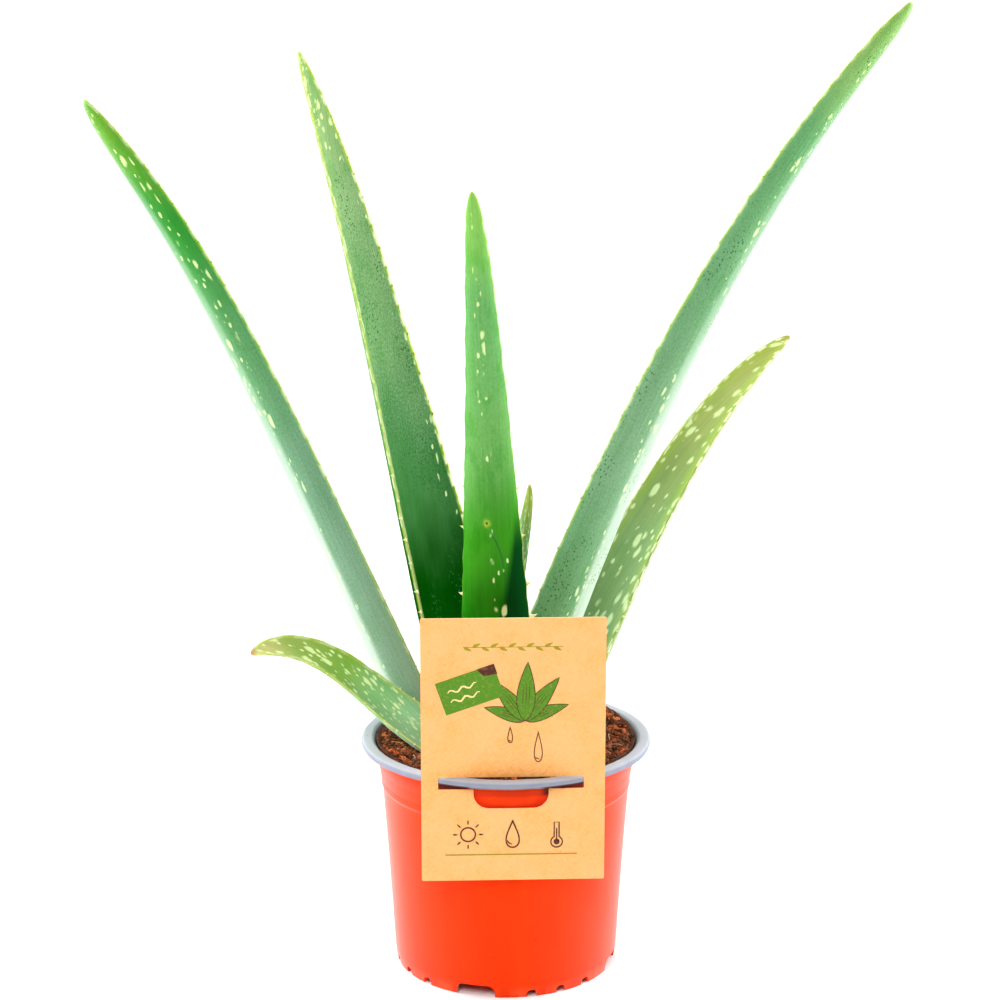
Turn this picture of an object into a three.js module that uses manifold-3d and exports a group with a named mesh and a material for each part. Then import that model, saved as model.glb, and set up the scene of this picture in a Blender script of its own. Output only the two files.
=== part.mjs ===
// A young aloe in a thin plastic nursery pot, with a kraft card hung on the pot's rim.
// Units are millimetres, Z is up, the origin is on the pot's axis where it stands,
// and -Y is the side that the card hangs on.
import * as THREE from 'three';
import { mergeVertices } from 'three/addons/utils/BufferGeometryUtils.js';
import Module from 'manifold-3d';

const wasm = await Module();
wasm.setup();

// ---- driving dimensions --------------------------------------------------------------

const FIT_GAP = 0.35; // space left between two pieces that touch

const POT = {
  height: 97,
  rimRadius: 60,
  mouthRadius: 54.8,
  lipDepth: 2.9,
  lipRound: 0.8,
  neckHeight: 2,
  wall: 1.1,
  collarRadius: 54.5,
  collarFoot: 80,
  collarKnee: { height: 5, share: 0.3 },
  shoulderRadius: 51.6,
  beadHeight: 77.5,
  beadRise: 1.2,
  bead: 0.5,
  heelRadius: 46.3,
  heelHeight: 5,
  footRadius: 45.6,
  footRing: 1.6,
  floorHeight: 4.6,
  floorRound: 0.8,
  centreFootRadius: 18,
  draft: 1.5,
  turns: 48,
};

const ARCH = { start: -105.7, count: 4, width: 16, height: 5 }; // large drain arches
const NOTCH = { offsets: [29, 45, 61], width: 4.2, height: 3 }; // small ones between them
const CUTTER = { depth: 12, overlap: 4, below: 1, roundShare: 0.6, curveSegments: 4 };

// The soil mounds towards the crown and is heaped from heapFrom to heapTo along +Y.
const SOIL = {
  edgeTop: 95.2, edgeDepth: 4, foot: 5.8, clearance: 0.3, mound: 3.2, moundReach: 26,
  backHeap: 3.4, heapFrom: 5, heapTo: 50, rings: 6, turns: 40,
};

// The crown's outline is pairs of a share of its radius and a height, from its foot up.
const CROWN = {
  centre: [-4, 1], radius: 25, bottom: 74, top: 101, turns: 36,
  outline: [[0.85, 80], [1, 89], [0.93, 94], [0.6, 100]], footShare: 0.55,
};

const CARD = {
  width: 72.3,
  height: 108,
  thickness: 0.5,
  top: 162.3,
  distance: 53.2,
  yaw: 2.15,
  shift: 0.8,
  slotWidth: 57.4,
  slotTop: 97.4,
  slotBottom: 92.4,
  thumbWidth: 29.6,
  thumbBottom: 84.3,
  thumbCorner: 6,
  curveSegments: 8,
};

// Each leaf starts at base and bends along a smooth curve of its own length. lean is its
// tilt from upright where it starts, bend and curl are what it gains along the way (curl
// mostly at the tip), azimuth is the way it leans and sweep how far that way turns. roll
// turns it about its own length. width and depth are its section, taper is how much
// narrower it grows, and point is how abruptly the tip closes.
const LEAVES = {
  leaf_left_long: {
    base: [-27.3, 6, 90], length: 302, lean: 23.9, bend: -3.8, curl: 23.5, azimuth: 182,
    sweep: -12, roll: 30, width: 30, depth: 13.2, taper: 0.4, point: 12,
  },
  leaf_left_upright: {
    base: [-6.7, 14, 90], length: 301.6, lean: 19.7, bend: -4.3, curl: 13.4, azimuth: 140,
    sweep: -2.3, roll: -10, width: 43.9, depth: 15, taper: 0.837, point: 20,
  },
  leaf_front: {
    base: [-2, -13, 90], length: 243, lean: 12.5, bend: -6, curl: 11, azimuth: -98,
    sweep: -7.5, roll: 5, width: 34.8, depth: 11, taper: 0.81, point: 25,
  },
  leaf_right_long: {
    base: [-2.2, 2, 90], length: 347.8, lean: 18.6, bend: 14.2, curl: 11.2, azimuth: 4,
    sweep: 6.6, roll: -45, width: 34, depth: 14, taper: 0.66, point: 25,
  },
  leaf_right_short: {
    base: [15.6, 16, 90], length: 222, lean: 29, bend: 18.4, curl: 26, azimuth: 38,
    sweep: 8.3, roll: 13.5, width: 30.6, depth: 11, taper: 0.62, point: 10,
  },
  leaf_young: {
    base: [-10.5, 5, 90], length: 113, lean: 11, bend: -2, curl: 1.5, azimuth: 10,
    sweep: 0, roll: 0, width: 19, depth: 8, taper: 0.55, point: 12,
  },
  leaf_left_low: {
    base: [-18.6, -16.5, 97], length: 99, lean: 64, bend: -57, curl: 117, azimuth: 187,
    sweep: -8.5, roll: -33, width: 24.2, depth: 8, taper: 0.6, point: 12,
  },
};
const LEAF = {
  rings: 18, crowding: 1.5, bellyPoints: 9, dish: 0.25, dishPoints: [0.5, 0, -0.5],
  neck: 0.35, neckReach: 0.07, footDepth: 0.6,
};

// ---- materials -----------------------------------------------------------------------

const plastic = new THREE.MeshStandardMaterial({ color: 0xe0562c, roughness: 0.45, metalness: 0 });
const coir = new THREE.MeshStandardMaterial({ color: 0x5f3a22, roughness: 1, metalness: 0 });
const stem = new THREE.MeshStandardMaterial({ color: 0xa9c08a, roughness: 0.7, metalness: 0 });
const flesh = new THREE.MeshStandardMaterial({ color: 0x5a9a55, roughness: 0.5, metalness: 0 });
const kraft = new THREE.MeshStandardMaterial({ color: 0xe6b878, roughness: 0.9, metalness: 0 });

// ---- solids --------------------------------------------------------------------------

const radians = THREE.MathUtils.degToRad;

const MERGE_DISTANCE = 1e-4;

function solidFrom(geometry) {
  const bare = new THREE.BufferGeometry();
  bare.setAttribute('position', geometry.getAttribute('position').clone());
  if (geometry.index) bare.setIndex(geometry.index.clone());
  const merged = mergeVertices(bare, MERGE_DISTANCE);
  return new wasm.Manifold(
    new wasm.Mesh({
      numProp: 3,
      vertProperties: new Float32Array(merged.getAttribute('position').array),
      triVerts: new Uint32Array(merged.index.array),
    }),
  );
}

function geometryFrom(solid) {
  const mesh = solid.getMesh();
  const geometry = new THREE.BufferGeometry();
  geometry.setAttribute('position', new THREE.BufferAttribute(new Float32Array(mesh.vertProperties), 3));
  geometry.setIndex(Array.from(mesh.triVerts));
  geometry.computeVertexNormals();
  return geometry;
}

function upright(latheGeometry) {
  return latheGeometry.rotateX(Math.PI / 2);
}

function extruded(shape, depth, curveSegments) {
  return new THREE.ExtrudeGeometry(shape, { depth, bevelEnabled: false, curveSegments });
}

function namedMesh(name, geometry, material) {
  const mesh = new THREE.Mesh(geometry, material);
  mesh.name = name;
  return mesh;
}

// ---- pot -----------------------------------------------------------------------------

function outerRadius(z) {
  const { heelRadius, heelHeight, shoulderRadius, beadHeight, bead } = POT;
  const rise = (z - heelHeight) / (beadHeight - heelHeight);
  return heelRadius + (shoulderRadius - bead - heelRadius) * rise;
}

function footProfile() {
  const { centreFootRadius, floorHeight, wall, footRadius, footRing, draft } = POT;
  const recess = floorHeight - wall;
  return [
    [0, 0],
    [centreFootRadius, 0],
    [centreFootRadius + draft, recess],
    [footRadius - footRing - draft, recess],
    [footRadius - footRing, 0],
    [footRadius, 0],
  ];
}

function outsideProfile() {
  const { heelRadius, heelHeight, beadHeight, beadRise, shoulderRadius, collarFoot } = POT;
  const { collarRadius, collarKnee, height, lipDepth, neckHeight } = POT;
  const flare = collarRadius - shoulderRadius;
  return [
    [heelRadius, heelHeight],
    [outerRadius(beadHeight - beadRise), beadHeight - beadRise],
    [shoulderRadius, beadHeight],
    [shoulderRadius, collarFoot],
    [shoulderRadius + flare * collarKnee.share, collarFoot + collarKnee.height],
    [collarRadius, height - lipDepth - neckHeight],
    [collarRadius, height - lipDepth],
  ];
}

function lipProfile() {
  const { height, rimRadius, mouthRadius, lipDepth, lipRound } = POT;
  return [
    [rimRadius - lipRound, height - lipDepth],
    [rimRadius, height - lipDepth + lipRound],
    [rimRadius, height - lipRound],
    [rimRadius - lipRound, height],
    [mouthRadius + lipRound, height],
    [mouthRadius, height - lipRound],
  ];
}

function insideProfile() {
  const { height, lipDepth, neckHeight, wall, collarRadius, collarFoot, shoulderRadius } = POT;
  const { beadHeight, beadRise, heelRadius, floorHeight, floorRound, centreFootRadius, draft } = POT;
  return [
    [collarRadius - wall, height - lipDepth - neckHeight],
    [shoulderRadius - wall, collarFoot],
    [outerRadius(beadHeight - beadRise) - wall, beadHeight - beadRise],
    [heelRadius - wall, floorHeight + floorRound],
    [heelRadius - wall - floorRound, floorHeight],
    [centreFootRadius, floorHeight],
    [centreFootRadius - draft, wall],
    [0, wall],
  ];
}

function potProfile() {
  const profile = [...footProfile(), ...outsideProfile(), ...lipProfile(), ...insideProfile()];
  return profile.map(([r, z]) => new THREE.Vector2(r, z));
}

function archCutter(width, height, bearing) {
  const half = width / 2;
  const round = Math.min(half, height * CUTTER.roundShare);
  const shape = new THREE.Shape();
  shape.moveTo(-half, -CUTTER.below);
  shape.lineTo(half, -CUTTER.below);
  shape.lineTo(half, height - round);
  shape.absellipse(half - round, height - round, round, round, 0, Math.PI / 2, false);
  shape.lineTo(-half + round, height);
  shape.absellipse(-half + round, height - round, round, round, Math.PI / 2, Math.PI, false);
  shape.lineTo(-half, -CUTTER.below);
  const cutter = extruded(shape, CUTTER.depth, CUTTER.curveSegments);
  cutter.rotateX(Math.PI / 2);
  cutter.translate(0, POT.footRadius - CUTTER.overlap + CUTTER.depth, 0);
  cutter.rotateZ(radians(bearing - 90));
  return solidFrom(cutter);
}

function potSolid() {
  let pot = solidFrom(upright(new THREE.LatheGeometry(potProfile(), POT.turns)));
  for (let i = 0; i < ARCH.count; i += 1) {
    const bearing = ARCH.start + (i * 360) / ARCH.count;
    pot = pot.subtract(archCutter(ARCH.width, ARCH.height, bearing));
    for (const offset of NOTCH.offsets) {
      pot = pot.subtract(archCutter(NOTCH.width, NOTCH.height, bearing + offset));
    }
  }
  return pot;
}

// ---- leaves --------------------------------------------------------------------------

function leafFrame(spec, t) {
  const tilt = radians(spec.lean + spec.bend * t + spec.curl * t ** 3);
  const bearing = radians(spec.azimuth + spec.sweep * t);
  const away = new THREE.Vector3(Math.cos(bearing), Math.sin(bearing), 0);
  const along = away.clone().multiplyScalar(Math.sin(tilt)).setZ(Math.cos(tilt));
  const inward = away.clone().multiplyScalar(-Math.cos(tilt)).setZ(Math.sin(tilt));
  const across = new THREE.Vector3(-Math.sin(bearing), Math.cos(bearing), 0);
  across.applyAxisAngle(along, radians(spec.roll));
  inward.applyAxisAngle(along, radians(spec.roll));
  return { along, inward, across };
}

function leafFullness(spec, t) {
  const tip = Math.sqrt(1 - t ** spec.point);
  const neck = 1 - LEAF.neck * Math.exp(-t / LEAF.neckReach);
  return (1 - spec.taper * t) * tip * neck;
}

// The section is a crescent: a round belly away from the plant's centre, two sharp
// margins, and a shallow dish on the inner face. room grows it evenly on every side.
function leafSection(half, deep, room) {
  const points = [];
  const last = LEAF.bellyPoints - 1;
  for (let i = 0; i <= last; i += 1) {
    const turn = Math.PI + (Math.PI * i) / last;
    const margin = i === 0 || i === last;
    points.push([Math.cos(turn) * (half + room), margin ? room : Math.sin(turn) * (deep + room)]);
  }
  for (const x of LEAF.dishPoints) points.push([x * half, room - LEAF.dish * deep * (1 - x * x)]);
  return points;
}

function leafGeometry(spec, room = 0) {
  const vertices = [];
  const spine = new THREE.Vector3(...spec.base);
  let previous = { t: 0, along: leafFrame(spec, 0).along };
  for (let ring = 0; ring < LEAF.rings; ring += 1) {
    const t = 1 - (1 - ring / LEAF.rings) ** LEAF.crowding;
    const { along, inward, across } = leafFrame(spec, t);
    const stride = (spec.length * (t - previous.t)) / 2;
    spine.addScaledVector(along, stride).addScaledVector(previous.along, stride);
    previous = { t, along };
    const centre = spine.clone().addScaledVector(along, ring === 0 ? -room : 0);
    const full = leafFullness(spec, t);
    if (ring === 0) {
      vertices.push(centre.clone().addScaledVector(inward, -LEAF.footDepth * spec.depth * full));
    }
    for (const [x, y] of leafSection((spec.width / 2) * full, spec.depth * full, room)) {
      vertices.push(centre.clone().addScaledVector(across, x).addScaledVector(inward, y));
    }
  }
  const { along } = leafFrame(spec, 1);
  const stride = (spec.length * (1 - previous.t)) / 2;
  spine.addScaledVector(along, stride).addScaledVector(previous.along, stride);
  vertices.push(spine.addScaledVector(along, room));
  return closedLeaf(vertices);
}

// The vertices are the foot's middle, then the rings, then the tip.
function closedLeaf(vertices) {
  const around = LEAF.bellyPoints + LEAF.dishPoints.length;
  const triangles = [];
  const tip = vertices.length - 1;
  const last = tip - around;
  for (let j = 0; j < around; j += 1) {
    const next = (j + 1) % around;
    triangles.push(0, 1 + next, 1 + j, last + j, last + next, tip);
    for (let start = 1; start < last; start += around) {
      const [a, b] = [start + j, start + next];
      triangles.push(a, b, b + around, a, b + around, a + around);
    }
  }
  const positions = vertices.flatMap((vertex) => vertex.toArray());
  const geometry = new THREE.BufferGeometry();
  geometry.setAttribute('position', new THREE.Float32BufferAttribute(positions, 3));
  geometry.setIndex(triangles);
  geometry.computeVertexNormals();
  return geometry;
}

// ---- crown and soil ------------------------------------------------------------------

function crownSolid(room = 0) {
  const { radius, bottom, top, turns, outline, footShare, centre } = CROWN;
  const points = [
    new THREE.Vector2(0, bottom - room),
    new THREE.Vector2(radius * footShare, bottom - room),
    ...outline.map(([share, z]) => new THREE.Vector2(radius * share + room, z)),
    new THREE.Vector2(0, top + room),
  ];
  const geometry = upright(new THREE.LatheGeometry(points, turns));
  return solidFrom(geometry.translate(centre[0], centre[1], 0));
}

function soilTop(x, y) {
  const [crownX, crownY] = CROWN.centre;
  const toCrown = Math.hypot(x - crownX, y - crownY) / SOIL.moundReach;
  const mound = SOIL.mound * Math.exp(-(toCrown ** 2));
  const heap = SOIL.backHeap * THREE.MathUtils.smoothstep(y, SOIL.heapFrom, SOIL.heapTo);
  return SOIL.edgeTop + mound + heap;
}

function potInnerRadius(z) {
  const { height, lipDepth, neckHeight, collarRadius, collarFoot } = POT;
  const { shoulderRadius, beadHeight, beadRise, wall } = POT;
  if (z > collarFoot) {
    const rise = (z - collarFoot) / (height - lipDepth - neckHeight - collarFoot);
    return shoulderRadius - wall + (collarRadius - shoulderRadius) * Math.min(1, rise);
  }
  if (z > beadHeight) return shoulderRadius - wall;
  return outerRadius(Math.min(z, beadHeight - beadRise)) - wall - SOIL.clearance;
}

// Rings of vertices from the middle of the top, out to the edge, and down the side.
function soilLevels() {
  const { edgeTop, edgeDepth, foot, rings } = SOIL;
  const inner = (z) => potInnerRadius(z) - FIT_GAP;
  const edge = inner(edgeTop - edgeDepth);
  const levels = [];
  for (let ring = 1; ring <= rings; ring += 1) levels.push([(edge * ring) / rings, soilTop]);
  for (const z of [edgeTop - edgeDepth, POT.collarFoot, POT.beadHeight - 2 * POT.beadRise, foot]) {
    levels.push([inner(z), () => z]);
  }
  return levels;
}

function soilGeometry() {
  const { turns, foot } = SOIL;
  const levels = soilLevels();
  const vertices = [];
  const triangles = [];
  for (const [radius, heightAt] of levels) {
    for (let j = 0; j < turns; j += 1) {
      const turn = (2 * Math.PI * j) / turns;
      const x = radius * Math.cos(turn);
      const y = radius * Math.sin(turn);
      vertices.push(x, y, heightAt(x, y));
    }
  }
  const middle = vertices.length / 3;
  vertices.push(0, 0, soilTop(0, 0), 0, 0, foot);
  const last = (levels.length - 1) * turns;
  for (let j = 0; j < turns; j += 1) {
    const next = (j + 1) % turns;
    triangles.push(middle, j, next, middle + 1, last + next, last + j);
    for (let start = 0; start < last; start += turns) {
      const [a, b] = [start + j, start + next];
      triangles.push(a, b + turns, b, a, a + turns, b + turns);
    }
  }
  const geometry = new THREE.BufferGeometry();
  geometry.setAttribute('position', new THREE.Float32BufferAttribute(vertices, 3));
  geometry.setIndex(triangles);
  return geometry;
}

// ---- card ----------------------------------------------------------------------------

function cardSlot() {
  const { slotWidth, slotTop, slotBottom, thumbWidth, thumbBottom, thumbCorner } = CARD;
  const half = thumbWidth / 2;
  const corner = half - thumbCorner;
  const slot = new THREE.Path();
  slot.moveTo(-slotWidth / 2, slotTop);
  slot.lineTo(slotWidth / 2, slotTop);
  slot.lineTo(slotWidth / 2, slotBottom);
  slot.lineTo(half, slotBottom);
  slot.lineTo(half, thumbBottom + thumbCorner);
  slot.absarc(corner, thumbBottom + thumbCorner, thumbCorner, 0, -Math.PI / 2, true);
  slot.lineTo(-corner, thumbBottom);
  slot.absarc(-corner, thumbBottom + thumbCorner, thumbCorner, -Math.PI / 2, -Math.PI, true);
  slot.lineTo(-half, slotBottom);
  slot.lineTo(-slotWidth / 2, slotBottom);
  return slot;
}

function cardSolid() {
  const { width, height, thickness, top, distance, shift, yaw, curveSegments } = CARD;
  const sheet = new THREE.Shape();
  sheet.moveTo(shift - width / 2, top - height);
  sheet.lineTo(shift + width / 2, top - height);
  sheet.lineTo(shift + width / 2, top);
  sheet.lineTo(shift - width / 2, top);
  sheet.holes.push(cardSlot());
  const geometry = extruded(sheet, thickness, curveSegments);
  geometry.rotateX(Math.PI / 2);
  geometry.translate(0, -distance + thickness / 2, 0);
  geometry.rotateZ(radians(yaw));
  return solidFrom(geometry);
}

// ---- assembly ------------------------------------------------------------------------

const plant = new THREE.Group();
plant.add(namedMesh('pot', geometryFrom(potSolid()), plastic));

let crown = crownSolid();
let soil = solidFrom(soilGeometry()).subtract(crownSolid(FIT_GAP));
for (const [name, spec] of Object.entries(LEAVES)) {
  const room = solidFrom(leafGeometry(spec, FIT_GAP));
  crown = crown.subtract(room);
  soil = soil.subtract(room);
  plant.add(namedMesh(name, leafGeometry(spec), flesh));
}

plant.add(namedMesh('crown', geometryFrom(crown), stem));
plant.add(namedMesh('soil', geometryFrom(soil), coir));
plant.add(namedMesh('care_card', geometryFrom(cardSolid()), kraft));

export default plant;
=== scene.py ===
# A young aloe in a thin plastic nursery pot, with a kraft card hung on the pot's rim.
# The sections follow the plant as it is potted up: pot, soil, crown, leaves, card, studio.
# Sizes are in millimetres, and MM turns them into the metres that meshes and finishes use.
import math

import bmesh
import bpy
from mathutils import Matrix, Vector, noise


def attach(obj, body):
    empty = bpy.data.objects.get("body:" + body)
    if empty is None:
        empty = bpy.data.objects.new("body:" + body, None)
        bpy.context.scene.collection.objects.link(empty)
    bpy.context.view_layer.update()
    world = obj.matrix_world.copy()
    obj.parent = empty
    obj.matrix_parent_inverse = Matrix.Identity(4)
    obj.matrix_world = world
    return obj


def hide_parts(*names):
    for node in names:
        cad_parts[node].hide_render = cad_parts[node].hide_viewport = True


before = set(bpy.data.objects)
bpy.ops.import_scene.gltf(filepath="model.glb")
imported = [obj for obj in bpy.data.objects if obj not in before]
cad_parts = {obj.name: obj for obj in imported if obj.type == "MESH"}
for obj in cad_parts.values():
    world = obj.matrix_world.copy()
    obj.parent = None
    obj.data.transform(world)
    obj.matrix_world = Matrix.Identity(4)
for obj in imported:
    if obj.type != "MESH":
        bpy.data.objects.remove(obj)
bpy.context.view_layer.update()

# ---- pot -------------------------------------------------------------------------------
# One sheet of polypropylene in two layers, terracotta outside and grey inside, blown into a
# mould. The grey side shows on the lip, where the edge is rolled outwards, and in the pot.
# The lower edge is punched with wide drain arches and small notches between them.
MM = 0.001

POT_TURNS = 256
POT_STEP = 5.0
POT_TOP = 97
LIP_BOTTOM = 94.1
LIP_FOLD = 54.6
COLLAR_FOOT = 80
BEAD = 77.5
HEEL = 5
FLOOR = 4.6
WALL = 1.1
ARCHES = 4
ARCH_START = math.radians(-105.7)
ARCH_SIZE = (16, 5)
NOTCH_BEARINGS = [math.radians(offset) for offset in (29, 45, 61)]
NOTCH_SIZE = (4.2, 3)
PUNCH_REACH = (41.6, 53.6)
SHEET_WAVE, SHEET_DENTS, LIP_RIPPLE = 0.28, 0.05, 0.16
SHARP_FROM = math.radians(38)
TERRACOTTA = (0.85, 0.040, 0.0002)
TERRACOTTA_WORN = (0.92, 0.19, 0.06)
LIP_GREY = (0.27, 0.29, 0.36)
LIP_WORN = (0.45, 0.465, 0.51)
# A painted shadow on the wall under the lip, behind the card's slot, and where it lies.
PAINTED_SLOT_SHADOW = (0.060, 0.012, 0.006)
SHADOW_HALF, SHADOW_FAINT = 30, 13
SHADOW_LOW, SHADOW_HIGH, SHADOW_FRONT = 90, 94.6, -44
SOIL_DUST = (0.09, 0.035, 0.015)
POT_SHEEN, LINING_SHEEN = 0.5, 0.05


def rounded(corners, step=math.radians(18)):
    """The outline through (x, y, corner radius) corners, with an arc at each rounded one."""
    outline = []
    for i, (x, y, radius) in enumerate(corners):
        here = Vector((x, y))
        to_last = Vector(corners[i - 1][:2]) - here
        to_next = Vector(corners[(i + 1) % len(corners)][:2]) - here
        if radius == 0:
            outline.append(here)
            continue
        half = to_last.angle(to_next) / 2
        radius = min(radius, 0.9 * min(to_last.length, to_next.length) * math.tan(half))
        middle = (to_last.normalized() + to_next.normalized()).normalized()
        centre = here + middle * (radius / math.sin(half))
        start = here + to_last.normalized() * (radius / math.tan(half)) - centre
        sweep = math.pi - 2 * half
        if to_last.cross(to_next) > 0:
            sweep = -sweep
        steps = max(2, round(abs(sweep) / step))
        for k in range(steps + 1):
            turn = Matrix.Rotation(sweep * k / steps, 2)
            outline.append(centre + turn @ start)
    return outline


def new_piece(name, mesh, *materials):
    """An object at the origin that holds this mesh."""
    piece = bpy.data.objects.new(name, mesh)
    bpy.context.scene.collection.objects.link(piece)
    for material in materials:
        mesh.materials.append(material)
    return piece


def belongs(piece, slot, *nodes):
    """The piece stands for these frame nodes, which are hidden, and stays with the plant. slot is not
    used.
    """
    if nodes:
        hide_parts(*nodes)
    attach(piece, "root")


def mesh_from(name, build):
    """A mesh that build(bm) fills in, closed and with its faces turned outwards."""
    bm = bmesh.new()
    build(bm)
    bmesh.ops.remove_doubles(bm, verts=bm.verts, dist=1e-6)
    bmesh.ops.recalc_face_normals(bm, faces=bm.faces)
    mesh = bpy.data.meshes.new(name)
    bm.to_mesh(mesh)
    bm.free()
    return mesh


def skin_between(bm, rings):
    """Quads between rings of the same number of vertices; a ring of one vertex is a pole."""
    for low, high in zip(rings, rings[1:]):
        count = max(len(low), len(high))
        for j in range(count):
            k = (j + 1) % count
            corners = [low[j % len(low)], low[k % len(low)], high[k % len(high)], high[j % len(high)]]
            bm.faces.new(list(dict.fromkeys(corners)))


def turned(bm, outline, count, uneven, centre=(0, 0)):
    """A solid turned round an upright axis, from an outline of radii and heights.

    uneven(turn, radius, z) gives each point's own radius and height, in millimetres.
    """
    rings = []
    for radius, z in outline:
        if radius == 0:
            rings.append([bm.verts.new((centre[0] * MM, centre[1] * MM, z * MM))])
            continue
        ring = []
        for j in range(count):
            turn = 2 * math.pi * j / count
            own_radius, height = uneven(turn, radius, z)
            x = centre[0] + own_radius * math.cos(turn)
            y = centre[1] + own_radius * math.sin(turn)
            ring.append(bm.verts.new((x * MM, y * MM, height * MM)))
        rings.append(ring)
    skin_between(bm, rings)


def baked(piece):
    """Turns the piece's modifiers into its plain mesh."""
    depsgraph = bpy.context.evaluated_depsgraph_get()
    plain = bpy.data.meshes.new_from_object(piece.evaluated_get(depsgraph), depsgraph=depsgraph)
    piece.modifiers.clear()
    piece.data = plain
    return piece


class Wire:
    """One output of a node. Plain arithmetic on it adds Math nodes to the same tree."""

    def __init__(self, tree, socket):
        self.tree = tree
        self.socket = socket

    def plug(self, value, socket):
        """Sends a Wire or a plain value into a socket; a plain colour is opaque."""
        if isinstance(value, Wire):
            self.tree.links.new(value.socket, socket)
        elif socket.type == "RGBA":
            socket.default_value = (*value[:3], 1.0)
        else:
            socket.default_value = value

    def math(self, operation, *others):
        node = self.tree.nodes.new("ShaderNodeMath")
        node.operation = operation
        for value, socket in zip((self, *others), node.inputs):
            self.plug(value, socket)
        return Wire(self.tree, node.outputs[0])

    def vector(self, operation, other=None):
        node = self.tree.nodes.new("ShaderNodeVectorMath")
        node.operation = operation
        self.plug(self, node.inputs[0])
        if other is not None:
            self.plug(other, node.inputs["Scale"] if operation == "SCALE" else node.inputs[1])
        return Wire(self.tree, node.outputs["Value" if operation == "LENGTH" else "Vector"])

    def __add__(self, other):
        return self.math("ADD", other)

    def __sub__(self, other):
        return self.math("SUBTRACT", other)

    def __rsub__(self, other):
        return (self * -1) + other

    def __mul__(self, other):
        return self.math("MULTIPLY", other)

    def __truediv__(self, other):
        return self.math("DIVIDE", other)

    def __rtruediv__(self, other):
        return self.math("POWER", -1.0) * other

    def __pow__(self, other):
        return self.math("POWER", other)

    __radd__ = __add__
    __rmul__ = __mul__

    def split(self):
        node = self.tree.nodes.new("ShaderNodeSeparateXYZ")
        self.plug(self, node.inputs[0])
        return [Wire(self.tree, output) for output in node.outputs]

    def fade(self, low, high, start=0.0, end=1.0):
        """Goes smoothly from start to end as this goes from low to high."""
        node = self.tree.nodes.new("ShaderNodeMapRange")
        node.interpolation_type = "SMOOTHSTEP"
        for value, key in zip((self, low, high, start, end), node.inputs):
            self.plug(value, key)
        return Wire(self.tree, node.outputs[0])


def add(tree, kind, output=0, inputs=None, **settings):
    """A new node with these settings and inputs, as a Wire on one of its outputs."""
    node = tree.nodes.new(kind)
    for key, value in settings.items():
        setattr(node, key, value)
    wire = Wire(tree, node.outputs[output] if len(node.outputs) else None)
    for key, value in (inputs or {}).items():
        wire.plug(value, node.inputs[key])
    return wire


def tree_of(*values):
    """The node tree of the first Wire among these values."""
    return next(value.tree for value in values if isinstance(value, Wire))


def vector_of(x, y, z):
    return add(tree_of(x, y, z), "ShaderNodeCombineXYZ", inputs={"X": x, "Y": y, "Z": z})


def cloudy(where, scale, detail=3.0, roughness=0.55, output="Fac"):
    """Soft noise with this many patches in a metre."""
    inputs = {"Vector": where, "Scale": scale, "Detail": detail, "Roughness": roughness}
    return add(where.tree, "ShaderNodeTexNoise", output, inputs)


def cells(where, scale, output="Distance", randomness=1.0):
    """Scattered cells, this many in a metre: the distance to a cell's middle or its colour."""
    inputs = {"Vector": where, "Scale": scale, "Randomness": randomness}
    return add(where.tree, "ShaderNodeTexVoronoi", output, inputs)


def blended(share, first, second, kind="MIX"):
    """The first colour turning into the second as share goes from 0 to 1."""
    inputs = {"Factor": share, 6: first, 7: second}
    tree = tree_of(share, first, second)
    return add(tree, "ShaderNodeMix", 2, inputs, data_type="RGBA", blend_type=kind)


def tinted(colour, tint):
    return blended(1.0, colour, tint, "MULTIPLY")


def new_tree(name, kind, inputs, outputs):
    """An empty node group with these named sockets, its inputs as Wires, and its output node.

    An input is a socket type and a first value, or just the value of a plain number.
    """
    tree = bpy.data.node_groups.new(name, kind)
    for key, entry in inputs.items():
        socket_type, value = entry if isinstance(entry, tuple) else ("Float", entry)
        socket = tree.interface.new_socket(key, in_out="INPUT", socket_type="NodeSocket" + socket_type)
        if value is not None:
            socket.default_value = value
    for key, socket_type in outputs.items():
        tree.interface.new_socket(key, in_out="OUTPUT", socket_type="NodeSocket" + socket_type)
    given = tree.nodes.new("NodeGroupInput")
    made = tree.nodes.new("NodeGroupOutput")
    return tree, {key: Wire(tree, given.outputs[key]) for key in inputs}, made


def put_out(made, **outputs):
    """Sends these Wires out of their group, whose output node this is."""
    for key, wire in outputs.items():
        wire.plug(wire, made.inputs[key])


def new_material(name, **constants):
    """A material with a Principled shader, whose sockets take these constant values."""
    material = bpy.data.materials.new(name)
    material.use_nodes = True
    tree = material.node_tree
    tree.nodes.clear()
    shader = tree.nodes.new("ShaderNodeBsdfPrincipled")
    output = tree.nodes.new("ShaderNodeOutputMaterial")
    tree.links.new(shader.outputs[0], output.inputs["Surface"])
    for key, value in constants.items():
        shader.inputs[key.replace("_", " ")].default_value = value
    return material, tree, shader


def finish_surface(shader, colour, roughness, height, depth):
    """Sends a colour, a roughness and a bump of this depth in metres to the shader."""
    bump = {"Height": height, "Distance": depth, "Strength": 1.0}
    bump = add(height.tree, "ShaderNodeBump", inputs=bump)
    for key, wire in {"Base Color": colour, "Roughness": roughness, "Normal": bump}.items():
        wire.plug(wire, shader.inputs[key])


def group_in(tree, group, inputs):
    """Places a node group in the tree and returns its outputs as Wires, by name."""
    node = tree.nodes.new("ShaderNodeGroup")
    node.node_tree = group
    wire = Wire(tree, None)
    for key, value in inputs.items():
        wire.plug(value, node.inputs[key])
    return {output.name: Wire(tree, output) for output in node.outputs}


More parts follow.
